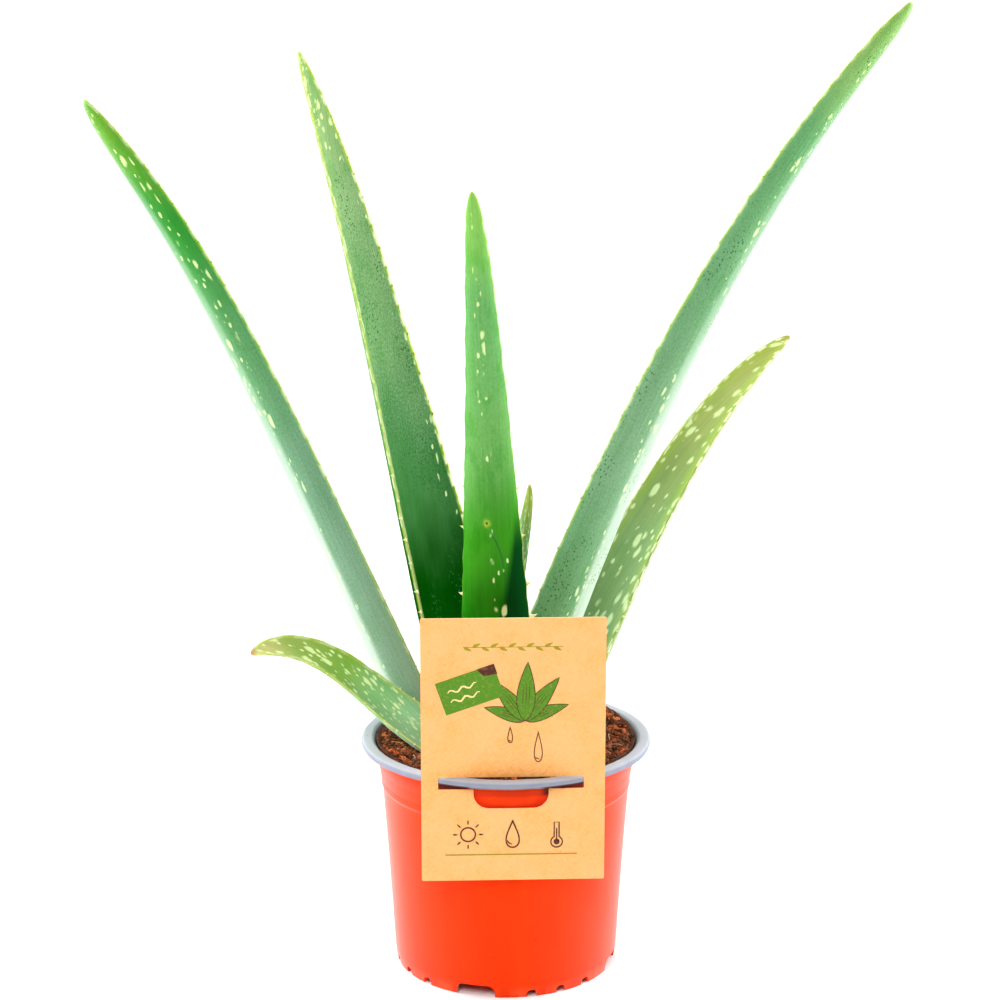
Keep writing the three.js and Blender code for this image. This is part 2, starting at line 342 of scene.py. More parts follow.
def moulded_plastic_group():
    """Thin blown sheet that has been handled: streaks, scuffs, dust and a fine orange peel."""
    tree, given, made = new_tree(
        "moulded_plastic",
        "ShaderNodeTree",
        {"Where": ("Vector", None), "Scuffs": 0.5, "Dust": 0.5},
        {"Streak": "Float", "Scuff": "Float", "Dust": "Float", "Roughness": "Float", "Height": "Float"},
    )
    where = given["Where"]
    drawn = where.vector("MULTIPLY", (1.0, 1.0, 0.12))
    streak = cloudy(drawn, 160.0, 2.0)
    patch = cloudy(where, 22.0, 4.0, 0.6)
    rubbed = where.vector("MULTIPLY", (1.0, 1.0, 4.5))
    scratch = cloudy(rubbed, 240.0, 3.0, 0.7).fade(0.66, 0.74) * patch.fade(0.52, 0.66)
    speck = cells(where, 420.0).fade(0.16, 0.08)
    rare = cells(where, 420.0, "Color").split()[0].fade(0.90, 0.94)
    peel = cloudy(where, 900.0, 2.0)
    put_out(
        made,
        Streak=streak * 0.6 + patch * 0.4,
        Scuff=scratch * given["Scuffs"],
        Dust=speck * rare * given["Dust"],
        Roughness=0.36 + patch * 0.14 + scratch * 0.2,
        Height=peel * 0.5 + streak * 0.35 + scratch * 0.25,
    )
    return tree


MOULDED_PLASTIC = moulded_plastic_group()


def pot_material(name, fresh, worn, scuffs, sheen):
    shine = {"Specular_IOR_Level": 0.01, "Sheen_Weight": sheen, "Sheen_Roughness": 0.4}
    material, tree, shader = new_material(name, **shine)
    where = add(tree, "ShaderNodeTexCoord", "Object")
    sheet = group_in(tree, MOULDED_PLASTIC, {"Where": where, "Scuffs": scuffs, "Dust": 0.8})
    across, towards, height = where.split()
    foot_rub = height.fade(6 * MM, 1 * MM) * sheet["Streak"].fade(0.42, 0.62)
    darker = tuple(0.86 * part for part in fresh)
    colour = blended(sheet["Streak"].fade(0.3, 0.7), darker, fresh)
    colour = blended(sheet["Scuff"].math("MAXIMUM", foot_rub * 0.25), colour, worn)
    colour = blended(height.fade((POT_TOP - 1) * MM, POT_TOP * MM) * 0.9, colour, worn)
    colour = blended(sheet["Dust"], colour, SOIL_DUST)

    # Painted shadow: under the lip, behind the slot of the hooked card, the wall is darkened as the
    # lip and card would shade it. It is strongest at the slot's two ends and faint behind the card's
    # notch.
    aside = across.math("ABSOLUTE")
    slot_shadow = aside.fade((SHADOW_HALF + 1.5) * MM, SHADOW_HALF * MM)
    slot_shadow = slot_shadow * towards.fade((SHADOW_FRONT + 4) * MM, SHADOW_FRONT * MM)
    slot_shadow = slot_shadow * height.fade((SHADOW_LOW - 2) * MM, SHADOW_LOW * MM)
    slot_shadow = slot_shadow * height.fade((SHADOW_HIGH + 0.4) * MM, SHADOW_HIGH * MM)
    slot_shadow = slot_shadow * (0.3 + aside.fade(SHADOW_FAINT * MM, (SHADOW_FAINT + 3) * MM) * 0.7)
    colour = blended(slot_shadow * 0.9, colour, PAINTED_SLOT_SHADOW)
    finish_surface(shader, colour, sheet["Roughness"], sheet["Height"], 0.03 * MM)
    return material


# The outline runs up the outside, round the rolled lip, and down the inside, as radius,
# height and corner radius.
POT_OUTSIDE = [
    (18, 0, 0.3), (19.5, 3.5, 0.5), (42.5, 3.5, 0.5), (44, 0, 0.3), (45.6, 0, 0.4), (46.3, HEEL, 1),
    (51.0, 76.2, 0.5), (51.6, BEAD, 0.4), (51.6, COLLAR_FOOT, 1.5), (52.5, 85, 3), (54.5, 91.6, 1.5),
    (LIP_FOLD, 94.9, 0.4),
]
POT_LIP = [
    (58.5, 94.9, 0.25), (58.7, LIP_BOTTOM, 0.15), (59.4, LIP_BOTTOM, 0.3), (60.0, 95.5, 0.9),
    (59.6, POT_TOP, 1.2), (55.6, POT_TOP, 0.9), (54.5, 96.2, 0.6),
]
POT_INSIDE = [
    (53.4, 92.1, 1.5), (50.5, COLLAR_FOOT, 1.5), (50.3, BEAD - 0.6, 0.4), (49.9, 76.0, 0.5),
    (45.1, FLOOR + 0.8, 0.6), (44.2, FLOOR, 0.4), (18.2, FLOOR, 0.5), (16.6, WALL, 0.5),
]


def build_pot(bm):
    corners = [(0, 0, 0), *POT_OUTSIDE, *POT_LIP, *POT_INSIDE, (0, WALL, 0)]
    turned(bm, finely_stepped(rounded(corners), POT_STEP), POT_TURNS, pot_wobble)


def finely_stepped(outline, longest):
    """The same open outline with no straight stretch longer than this."""
    stepped = [outline[0]]
    for start, end in zip(outline, outline[1:]):
        steps = max(1, math.ceil((end - start).length / longest))
        stepped += [start.lerp(end, k / steps) for k in range(1, steps + 1)]
    return stepped


def pot_wobble(turn, radius, z):
    """Thin sheet is never quite round: its waves grow with height, and its lip ripples a little."""
    east, north = math.cos(turn), math.sin(turn)
    sag = lift = 0.0
    if radius >= 40:
        wave = Vector((2.2 * east, 2.2 * north, z / 28))
        rise = min(1.0, z / POT_TOP)
        sag = SHEET_WAVE * rise * noise.noise(wave) + SHEET_DENTS * noise.noise(wave * 5)
    if z > LIP_BOTTOM - 0.1 and radius > LIP_FOLD + 0.9:
        lift = LIP_RIPPLE * noise.noise(Vector((9 * east, 9 * north, 3.7)))
    return radius + sag, z + lift


def build_cutters(bm):
    """The punches: round-topped blocks through the lower edge."""
    for arch in range(ARCHES):
        bearing = ARCH_START + 2 * math.pi * arch / ARCHES
        add_punch(bm, bearing, *ARCH_SIZE)
        for offset in NOTCH_BEARINGS:
            add_punch(bm, bearing + offset, *NOTCH_SIZE)


def add_punch(bm, bearing, width, height):
    half = width / 2
    top = min(half, 0.6 * height)
    outline = rounded([(half, -1, 0), (half, height, top), (-half, height, top), (-half, -1, 0)])
    turn = Matrix.Rotation(bearing, 3, "Z")
    loops = []
    for depth in PUNCH_REACH:
        loops.append([bm.verts.new(turn @ Vector((depth, x, z)) * MM) for x, z in outline])
    skin_between(bm, loops)
    for loop in loops:
        bm.faces.new(loop)


def pot_side(polygon):
    """0 on the terracotta side of the sheet and 1 on its grey side."""
    centre = polygon.center
    radius = math.hypot(centre.x, centre.y)
    if centre.z > (LIP_BOTTOM - 0.2) * MM and radius > (LIP_FOLD + 0.05) * MM:
        return 1 if radius > (LIP_FOLD + 0.6) * MM or centre.z > 95.4 * MM else 0
    outwards = polygon.normal.x * centre.x + polygon.normal.y * centre.y
    if radius > 40 * MM and abs(polygon.normal.z) < 0.9:
        return 0 if outwards > -0.2 * radius else 1
    return 1 if polygon.normal.z > 0.5 and centre.z > 0.5 * MM else 0


pot = new_piece(
    "pot_shell",
    mesh_from("pot_shell", build_pot),
    pot_material("pot_terracotta", TERRACOTTA, TERRACOTTA_WORN, 0.5, POT_SHEEN),
    pot_material("pot_grey_lining", LIP_GREY, LIP_WORN, 0.35, LINING_SHEEN),
)
punches = new_piece("punches", mesh_from("punches", build_cutters))
cut = pot.modifiers.new("drain_holes", "BOOLEAN")
cut.object = punches
cut.solver = "EXACT"
baked(pot)
bpy.data.objects.remove(punches)
pot.data.shade_smooth()
for polygon in pot.data.polygons:
    polygon.material_index = pot_side(polygon)
pot.data.set_sharp_from_angle(angle=SHARP_FROM)
belongs(pot, "pot_plastic", "pot")

# ---- soil ------------------------------------------------------------------------------
# Coir potting mix: brown shredded coconut husk, with coarser crumbs and loose pale fibres
# lying on top. It fills the pot, mounds up to the stem and is heaped higher at the back.
CROWN_AT = Vector((-4, 1))
SOIL_EDGE = 95.2
SOIL_FOOT = 5.8
SOIL_MOUND = (3.2, 26)
SOIL_HEAP = (3.4, 5, 50)
CLOD_HEIGHT, CLOD_WIDTH = 1.5, 7.5
CRUMB_HEIGHT, CRUMB_WIDTH, GRIT_HEIGHT = 0.8, 2.6, 0.35
SOIL_REACH = 53.6
SOIL_SIDE = [(52.3, 91), (50.1, COLLAR_FOOT), (49.6, BEAD - 2.5), (44.4, SOIL_FOOT)]
SOIL_RINGS = 76
SOIL_TURNS = 240
# Nearly black: painted shade in the pits between the husk.
COIR_PIT_SHADE = (0.012, 0.003, 0.001)
COIR_BROWN = (0.135, 0.025, 0.005)
COIR_TAN = (0.52, 0.19, 0.07)
FIBRE_PALE = (0.80, 0.56, 0.32)


def smooth_step(value, low, high):
    share = min(1.0, max(0.0, (value - low) / (high - low)))
    return share * share * (3 - 2 * share)


def soil_top(x, y):
    """Height of the potting mix in millimetres, before its lumps."""
    mound, reach = SOIL_MOUND
    heap, heap_from, heap_to = SOIL_HEAP
    to_crown = (Vector((x, y)) - CROWN_AT).length / reach
    return SOIL_EDGE + mound * math.exp(-(to_crown**2)) + heap * smooth_step(y, heap_from, heap_to)


def soil_lumps(x, y):
    """Clods and pits, smoother and a little raised where the mix meets the pot."""
    coarse = CLOD_HEIGHT * noise.noise(Vector((x / CLOD_WIDTH, y / CLOD_WIDTH, 0.3)))
    fine = CRUMB_HEIGHT * noise.noise(Vector((x / CRUMB_WIDTH, y / CRUMB_WIDTH, 5.1)))
    fine += GRIT_HEIGHT * noise.noise(Vector((x, y, 9.4)))
    rim = smooth_step(math.hypot(x, y), SOIL_REACH - 3.5, SOIL_REACH)
    return (coarse + fine) * (1 - 0.6 * rim) + rim


def build_soil(bm):
    top = [(SOIL_REACH * i / SOIL_RINGS, None) for i in range(1, SOIL_RINGS + 1)]
    outline = [(0, soil_top(0, 0)), *top, *SOIL_SIDE, (0, SOIL_FOOT)]
    turned(bm, outline, SOIL_TURNS, soil_point)


def soil_point(turn, radius, level):
    """A point on the side keeps its level, and one on the top, with none, takes the mound's."""
    x, y = radius * math.cos(turn), radius * math.sin(turn)
    return radius, soil_top(x, y) + soil_lumps(x, y) if level is None else level


def coir_group():
    """Husk colours: painted shade in the pits, red-brown pith, tan shreds, and each loose bit's own tone.
    """
    tree, given, made = new_tree(
        "coir_colour",
        "ShaderNodeTree",
        {"Where": ("Vector", None), "Shade": 0.5, "Pale": 0.3},
        {"Colour": "Color", "Height": "Float"},
    )
    where = given["Where"]
    pith = cloudy(where, 260.0, 5.0, 0.65)
    grain = cloudy(where, 1500.0, 3.0, 0.6)
    shreds = cells(where.vector("MULTIPLY", (1.0, 2.6, 1.4)), 380.0).fade(0.28, 0.05)
    # Where the bump is low the husk turns nearly black: painted shade in the pits.
    mixed = (pith * 0.6 + grain * 0.4).fade(0.42, 0.62)
    colour = blended(mixed, COIR_PIT_SHADE, COIR_BROWN)
    tan = (shreds * pith.fade(0.5, 0.62)).math("MAXIMUM", given["Pale"] * grain.fade(0.3, 0.7))
    colour = blended(tan, colour, COIR_TAN)
    lighter = tinted(colour, (3.4, 2.7, 2.1))
    colour = blended(given["Shade"].fade(0.45, 1.0), colour, lighter)
    put_out(made, Colour=colour, Height=pith * 0.6 + grain * 0.5 + shreds * 0.4)
    return tree


COIR_COLOUR = coir_group()


def coir_material(name, pale, depth):
    material, tree, shader = new_material(name, Specular_IOR_Level=0.22)
    where = add(tree, "ShaderNodeTexCoord", "Object")
    shade = add(tree, "ShaderNodeAttribute", "Fac", attribute_name="shade")
    husk = group_in(tree, COIR_COLOUR, {"Where": where, "Shade": shade, "Pale": pale})
    finish_surface(shader, husk["Colour"], 0.8 + husk["Height"] * 0.15, husk["Height"], depth)
    return material


def fibre_material():
    """Loose strands, from straw to brown, each with its own shade."""
    material, tree, shader = new_material("coir_fibre", Specular_IOR_Level=0.35)
    where = add(tree, "ShaderNodeTexCoord", "Object")
    shade = add(tree, "ShaderNodeAttribute", "Fac", attribute_name="shade")
    mottle = cloudy(where, 700.0, 2.0)
    colour = blended((shade * 0.8 + mottle * 0.4).fade(0.35, 0.75), COIR_BROWN, FIBRE_PALE)
    finish_surface(shader, colour, 0.55 + mottle * 0.2, mottle, 0.04 * MM)
    return material


def random_value(low, high, seed):
    inputs = {2: low, 3: high, "Seed": seed}
    return add(seed.tree, "FunctionNodeRandomValue", 1, inputs, data_type="FLOAT")


def worked(geometry, kind, inputs=None, **settings):
    """The geometry after one more geometry node, which takes it in its first socket."""
    return add(geometry.tree, "GeometryNode" + kind, 0, {0: geometry} | (inputs or {}), **settings)


def stored(geometry, name, value, kind="FLOAT", domain="POINT"):
    inputs = {"Name": name, "Value": value}
    return worked(geometry, "StoreNamedAttribute", inputs, data_type=kind, domain=domain)


def scatter_tree(name, bit):
    """Scatters many small bits over a surface. bit(tree) makes one of them."""
    inputs = {
        "Geometry": ("Geometry", None), "Per Square Metre": 1.0, "Smallest": 1.0, "Largest": 1.0,
        "Lift": 0.0, "Tilt": 0.5, "Bare Middle": 0.0, "Reach": 1.0, "Seed": ("Int", 0),
        "Finish": ("Material", None),
    }
    tree, given, made = new_tree(name, "GeometryNodeTree", inputs, {"Geometry": "Geometry"})
    tilt, seed = given["Tilt"], given["Seed"]

    # Only ground that faces up is strewn, outside the crown and within reach of the lip.
    place = add(tree, "GeometryNodeInputPosition")
    from_crown = place.vector("SUBTRACT", (CROWN_AT.x * MM, CROWN_AT.y * MM, 0.0))
    from_crown = from_crown.vector("MULTIPLY", (1.0, 1.0, 0.0)).vector("LENGTH")
    from_axis = place.vector("MULTIPLY", (1.0, 1.0, 0.0)).vector("LENGTH")
    upwards = add(tree, "GeometryNodeInputNormal").split()[2].math("GREATER_THAN", 0.35)
    ground = upwards * from_crown.math("GREATER_THAN", given["Bare Middle"])
    ground = ground * from_axis.math("LESS_THAN", given["Reach"])
    strewn = {"Selection": ground, "Density": given["Per Square Metre"], "Seed": seed}
    bits = worked(given["Geometry"], "DistributePointsOnFaces", strewn)
    bits = worked(bits, "SetPosition", {"Offset": vector_of(0.0, 0.0, given["Lift"])})
    bits = stored(bits, "shade", random_value(0.0, 1.0, seed + 5))

    # Small bits are many and large ones few, and each lies at its own angle.
    size = random_value(0.0, 1.0, seed + 4) ** 2.2
    size = given["Smallest"] + size * (given["Largest"] - given["Smallest"])
    leaning = [random_value(tilt * -1, tilt, seed + 1), random_value(tilt * -1, tilt, seed + 2)]
    facing = vector_of(*leaning, random_value(0.0, 2 * math.pi, seed + 3))
    laid = {
        "Instance": bit(tree),
        "Rotation": add(tree, "FunctionNodeEulerToRotation", inputs={"Euler": facing}),
        "Scale": vector_of(size, size, size),
    }
    bits = worked(worked(bits, "InstanceOnPoints", laid), "RealizeInstances")
    put_out(made, Geometry=worked(bits, "SetMaterial", {"Material": given["Finish"]}))
    return tree


def crumb_bit(tree):
    """A lump of husk: an uneven, slightly flat pebble of a few dozen faces."""
    ball = add(tree, "GeometryNodeMeshIcoSphere", inputs={"Radius": 1.0, "Subdivisions": 2})
    place = add(tree, "GeometryNodeInputPosition")
    dents = cloudy(place, 1.3, 1.0, output="Color").vector("SUBTRACT", (0.5, 0.5, 0.5))
    pushed = place.vector("ADD", dents.vector("SCALE", 1.6)).vector("MULTIPLY", (1.0, 0.66, 0.5))
    return worked(ball, "SetPosition", {"Position": pushed})


def fibre_bit(tree):
    """A thin strand one unit long that arches up in the middle and hooks to one side."""
    ends = {"Start": (-0.5, 0.0, 0.0), "End": (0.5, 0.0, 0.0)}
    line = add(tree, "GeometryNodeCurvePrimitiveLine", inputs=ends)
    strand = worked(line, "ResampleCurve", {"Count": 7})
    along, _, _ = add(tree, "GeometryNodeInputPosition").split()
    hook = (along + 0.5) ** 2.0 * 0.35
    arch = 0.12 - along * along * 0.6
    strand = worked(strand, "SetPosition", {"Position": vector_of(along, hook, arch)})
    thread = add(tree, "GeometryNodeCurvePrimitiveCircle", inputs={"Resolution": 4, "Radius": 0.02})
    return worked(strand, "CurveToMesh", {"Profile Curve": thread, "Fill Caps": True})


def grown(name, mesh, tree, **settings):
    """A plain piece: the mesh after this tree has run on it, with settings for its inputs."""
    piece = new_piece(name, mesh)
    modifier = piece.modifiers.new("grow", "NODES")
    modifier.node_group = tree
    for item in tree.interface.items_tree:
        if item.in_out == "INPUT" and item.name in settings:
            modifier[item.identifier] = settings[item.name]
    return baked(piece)


soil_mesh = mesh_from("soil_bed", build_soil)
soil_mesh.attributes.new("shade", "FLOAT", "POINT")
soil = new_piece("soil_bed", soil_mesh, coir_material("coir_bed", 0.15, 0.9 * MM))
soil_mesh.shade_smooth()
belongs(soil, "coir_soil", "soil")

CRUMBS = {
    "Per Square Metre": 240000.0, "Smallest": 0.5 * MM, "Largest": 2.8 * MM, "Lift": 0.35 * MM,
    "Tilt": 0.7, "Bare Middle": 21 * MM, "Reach": 51.8 * MM, "Seed": 11,
    "Finish": coir_material("coir_crumb", 0.3, 0.5 * MM),
}
crumb_tree = scatter_tree("coir_crumbs", crumb_bit)
crumbs = grown("soil_crumbs", soil_mesh.copy(), crumb_tree, **CRUMBS)
belongs(crumbs, "coir_soil")

FIBRES = {
    "Per Square Metre": 85000.0, "Smallest": 2.5 * MM, "Largest": 11 * MM, "Lift": 0.5 * MM,
    "Tilt": 0.4, "Bare Middle": 21 * MM, "Reach": 46 * MM, "Seed": 5,
    "Finish": fibre_material(),
}
fibre_tree = scatter_tree("coir_fibres", fibre_bit)
fibres = grown("soil_fibres", soil_mesh.copy(), fibre_tree, **FIBRES)
belongs(fibres, "coir_soil")

# ---- crown -----------------------------------------------------------------------------
# The short stem that every leaf clasps. It is pale green and moist, ringed by the scars of
# older leaves, and their last papery brown bits still stick to it near the soil.
CROWN_OUTLINE = [
    (0, 76, 0), (13.5, 76, 2), (20.5, 80, 4), (24.6, 89, 4), (23.2, 94, 4), (15.5, 99.2, 5), (0, 100.7, 0),
]
CROWN_TURNS = 96
CROWN_STEP = 1.1
SCAR_PITCH = 3.1
STEM_GREEN = (0.36, 0.50, 0.17)
STEM_PALE = (0.70, 0.74, 0.46)
PAPER_BROWN = (0.30, 0.17, 0.075)


def build_crown(bm):
    outline = finely_stepped(rounded(CROWN_OUTLINE), CROWN_STEP)
    turned(bm, outline, CROWN_TURNS, crown_scars, CROWN_AT)


def crown_scars(turn, radius, z):
    """Overlapping scar rings that wind round the stem, and soft flutes below each leaf."""
    winding = z / SCAR_PITCH + turn / (2 * math.pi)
    scar = 0.018 * abs(math.sin(math.pi * winding))
    around = Vector((1.7 * math.cos(turn), 1.7 * math.sin(turn), z / 11))
    return radius * (1 + scar - 0.03 + 0.045 * noise.noise(around)), z


def crown_material():
    material, tree, shader = new_material("crown_tissue", Specular_IOR_Level=0.4)
    where = add(tree, "ShaderNodeTexCoord", "Object")
    height = where.split()[2]
    patch = cloudy(where, 90.0, 5.0, 0.6)
    veins = cloudy(where.vector("MULTIPLY", (1.0, 1.0, 0.2)), 420.0, 3.0)
    papery = (height.fade(101 * MM, 93 * MM) * 0.55 + patch * 0.6).fade(0.56, 0.7)
    colour = blended(height.fade(94 * MM, 101 * MM) * patch, STEM_PALE, STEM_GREEN)
    colour = blended(veins.fade(0.4, 0.7) * 0.35, colour, STEM_GREEN)
    colour = blended(papery, colour, PAPER_BROWN)
    height_map = veins * 0.6 + patch * 0.4
    finish_surface(shader, colour, 0.45 + papery * 0.35, height_map, 0.35 * MM)
    return material


crown = new_piece("crown_stem", mesh_from("crown_stem", build_crown), crown_material())
crown.data.shade_smooth()
belongs(crown, "crown_tissue", "crown")

# ---- leaves ----------------------------------------------------------------------------
# Seven leaves, each grown as one piece from the stem: a thick belly on the side away from
# the plant's middle, a shallow dish on the inner side, two thin margins with hooked teeth.
# The skin is green under a grey wax bloom, with pale spots that are denser on young leaves.
# The belly takes this share of the way round a leaf. The dish is as deep as this share of
# the belly, and the neck is narrower by its share and widens over its reach up the leaf.
LEAF_ROWS = 150
LEAF_AROUND = 60
BELLY_SHARE = 0.6
DISH = 0.25
NECK = 0.35
NECK_REACH = 0.07
CROWDING = 1.5

# Base is the middle of a leaf's foot. In degrees, Lean is its tilt there, Bend and Curl add to
# the tilt evenly and towards the tip, Azimuth is its bearing, Sweep turns the bearing on the
# way up, and Roll turns the blade about its own length.
LEAVES = {
    "leaf_left_long": {
        "Base": (-27.3, 6, 90), "Length": 302, "Lean": 23.9, "Bend": -3.8, "Curl": 23.5, "Azimuth": 182,
        "Sweep": -12, "Roll": 30, "Width": 30, "Depth": 13.2, "Taper": 0.4, "Point": 12,
    },
    "leaf_left_upright": {
        "Base": (-6.7, 14, 90), "Length": 301.6, "Lean": 19.7, "Bend": -4.3, "Curl": 13.4, "Azimuth": 140,
        "Sweep": -2.3, "Roll": -10, "Width": 43.9, "Depth": 15, "Taper": 0.837, "Point": 20,
    },
    "leaf_front": {
        "Base": (-2, -13, 90), "Length": 243, "Lean": 12.5, "Bend": -6, "Curl": 11, "Azimuth": -98,
        "Sweep": -7.5, "Roll": 5, "Width": 34.8, "Depth": 11, "Taper": 0.81, "Point": 25,
    },
    "leaf_right_long": {
        "Base": (-2.2, 2, 90), "Length": 347.8, "Lean": 18.6, "Bend": 14.2, "Curl": 11.2, "Azimuth": 4,
        "Sweep": 6.6, "Roll": -45, "Width": 34, "Depth": 14, "Taper": 0.66, "Point": 25,
    },
    "leaf_right_short": {
        "Base": (15.6, 16, 90), "Length": 222, "Lean": 29, "Bend": 18.4, "Curl": 26, "Azimuth": 38,
        "Sweep": 8.3, "Roll": 13.5, "Width": 30.6, "Depth": 11, "Taper": 0.62, "Point": 10,
    },
    "leaf_young": {
        "Base": (-10.5, 5, 90), "Length": 113, "Lean": 11, "Bend": -2, "Curl": 1.5, "Azimuth": 10,
        "Sweep": 0, "Roll": 0, "Width": 19, "Depth": 8, "Taper": 0.55, "Point": 12,
    },
    "leaf_left_low": {
        "Base": (-18.6, -16.5, 97), "Length": 99, "Lean": 64, "Bend": -57, "Curl": 117, "Azimuth": 187,
        "Sweep": -8.5, "Roll": -33, "Width": 24.2, "Depth": 8, "Taper": 0.6, "Point": 12,
    },
}
IN_MILLIMETRES = ("Length", "Width", "Depth")


def on_points(wire):
    """The vector that each point has, so that a face corner can take it from its point."""
    settings = {"data_type": "FLOAT_VECTOR", "domain": "POINT"}
    return add(wire.tree, "GeometryNodeFieldOnDomain", 0, {0: wire}, **settings)


def grown_share(row, rows):
    """How far up the leaf a row lies, from 0 to 1, with the rows closer near the tip."""
    return 1 - (1 - row.math("MAXIMUM", 0.0) / rows) ** CROWDING


def leaf_directions(given, t):
    """The leaf's own axes: along it, across it, and inwards to the plant's middle."""
    tree = t.tree
    tilt = (given["Lean"] + given["Bend"] * t + given["Curl"] * t * t * t).math("RADIANS")
    bearing = (given["Azimuth"] + given["Sweep"] * t).math("RADIANS")
    east, north = bearing.math("COSINE"), bearing.math("SINE")
    out, up = tilt.math("SINE"), tilt.math("COSINE")
    along = vector_of(east * out, north * out, up)
    inward = vector_of(east * up * -1, north * up * -1, out)
    across = vector_of(north * -1, east, 0.0)
    roll = {"Axis": along, "Angle": given["Roll"].math("RADIANS")}
    across = add(tree, "ShaderNodeVectorRotate", inputs={"Vector": across, **roll})
    inward = add(tree, "ShaderNodeVectorRotate", inputs={"Vector": inward, **roll})
    return along, across, inward


def leaf_tree():
    """Grows one leaf blade from its measurements, and marks where its skin and margins lie."""
    inputs = {"Geometry": ("Geometry", None), "Base": ("Vector", None), "Skin": ("Material", None)}
    inputs |= {
        "Length": 1.0, "Lean": 1.0, "Bend": 1.0, "Curl": 1.0, "Azimuth": 1.0, "Sweep": 1.0, "Roll": 1.0,
        "Width": 1.0, "Depth": 1.0, "Taper": 1.0, "Point": 1.0, "Seed": 0.0,
    }
    tree, given, made = new_tree("aloe_leaf", "GeometryNodeTree", inputs, {"Geometry": "Geometry"})

    # A net of rows up the leaf and columns round it. The first row closes the foot.
    columns = LEAF_AROUND + 1
    net = {"Vertices X": LEAF_ROWS + 2, "Vertices Y": columns}
    grid = add(tree, "GeometryNodeMeshGrid", "Mesh", net)
    index = add(tree, "GeometryNodeInputIndex")
    row = ((index + 0.5) / columns).math("FLOOR")
    column = index - row * columns
    t = grown_share(row - 1, LEAF_ROWS)
    earlier = grown_share(row - 2, LEAF_ROWS)

    # The middle line is the sum of short steps along the leaf's changing direction.
    along, across, inward = leaf_directions(given, t)
    along_earlier, _, _ = leaf_directions(given, earlier)
    stride = (t - earlier) * given["Length"] * 0.5
    step = along.vector("ADD", along_earlier).vector("SCALE", stride)
    lane = {"Value": step, "Group ID": column}
    settings = {"data_type": "FLOAT_VECTOR", "domain": "POINT"}
    spine = add(tree, "GeometryNodeAccumulateField", "Leading", lane, **settings)
    spine = spine.vector("ADD", given["Base"])

    # The section: half an ellipse for the belly, then back over the dished inner face.
    tip = (1 - t ** given["Point"]).math("MAXIMUM", 0.0).math("SQRT")
    neck = 1 - (t / -NECK_REACH).math("EXPONENT") * NECK
    full = (1 - given["Taper"] * t) * tip * neck
    s = column / LEAF_AROUND
    inner = s.math("GREATER_THAN", BELLY_SHARE + 0.001)
    turn = (s / BELLY_SHARE + 1) * math.pi
    u = ((s - BELLY_SHARE) / (1 - BELLY_SHARE)).math("MAXIMUM", 0.0)
    x_inner = 1 - u * 2
    y_inner = (x_inner * x_inner - 1) * DISH
    x = turn.math("COSINE") * (1 - inner) + x_inner * inner
    y = turn.math("SINE") * (1 - inner) + y_inner * inner

    # Growth is never even: slow swells along the blade and a slightly scalloped margin.
    seed = vector_of(given["Seed"], 0.0, 0.0)
    where = vector_of(x * 0.7, y * 0.7, t * given["Length"] * 24).vector("ADD", seed)
    swell = 1 + (cloudy(where, 1.0, 2.0) - 0.5) * 0.05
    ruffle = vector_of(given["Seed"], x.math("SIGN"), t * given["Length"] * 95)
    ruffle = cloudy(ruffle, 1.0, 1.0)
    edge_pull = x.math("ABSOLUTE") ** 14.0 * (ruffle - 0.5) * 1.4 * MM
    closing = row.math("MINIMUM", 1.0)
    half = given["Width"] * 0.5 * full * closing
    deep = given["Depth"] * full * closing
    aside = x * (half * swell + edge_pull * closing * tip)
    offset = across.vector("SCALE", aside).vector("ADD", inward.vector("SCALE", y * deep * swell))
    blade = worked(grid, "SetPosition", {"Position": spine.vector("ADD", offset)})

    # skin is metres round the belly and up the leaf; place is the share of the length, the
    # distance to the nearest margin, and 1 on the inner face; aside runs from one margin, -1,
    # to the other, 1, on both faces.
    belly = ((half * half + deep * deep) * 0.5).math("SQRT") * math.pi
    round_it = (s / BELLY_SHARE - 0.5).math("MINIMUM", 0.5) * belly + u * half * 2
    outer_edge = (0.5 - (s / BELLY_SHARE - 0.5).math("ABSOLUTE")) * belly * (1 - inner)
    inner_edge = (0.5 - (u - 0.5).math("ABSOLUTE")) * half * 2 * inner
    skin = vector_of(round_it, t * given["Length"], 0.0)
    place = vector_of(t, outer_edge + inner_edge, inner)
    blade = stored(blade, "skin", on_points(skin), "FLOAT2", "CORNER")
    blade = stored(blade, "place", on_points(place), "FLOAT_VECTOR", "CORNER")
    blade = stored(blade, "aside", x)

    # The teeth find the margins, and the ways outwards and up the leaf, in these marks.
    blade = stored(blade, "margin", x.math("ABSOLUTE").math("GREATER_THAN", 0.999) * closing)
    blade = stored(blade, "grown", t)
    blade = stored(blade, "outwards", across.vector("SCALE", x), "FLOAT_VECTOR")
    blade = stored(blade, "upwards", along, "FLOAT_VECTOR")
    blade = worked(blade, "MergeByDistance", {"Distance": 0.02 * MM})
    blade = worked(worked(blade, "SetShadeSmooth"), "RealizeInstances")
    put_out(made, Geometry=worked(blade, "SetMaterial", {"Material": given["Skin"]}))
    return tree


def from_mesh(tree, name, kind="FLOAT"):
    inputs = {"Name": name}
    return add(tree, "GeometryNodeInputNamedAttribute", 0, inputs, data_type=kind)


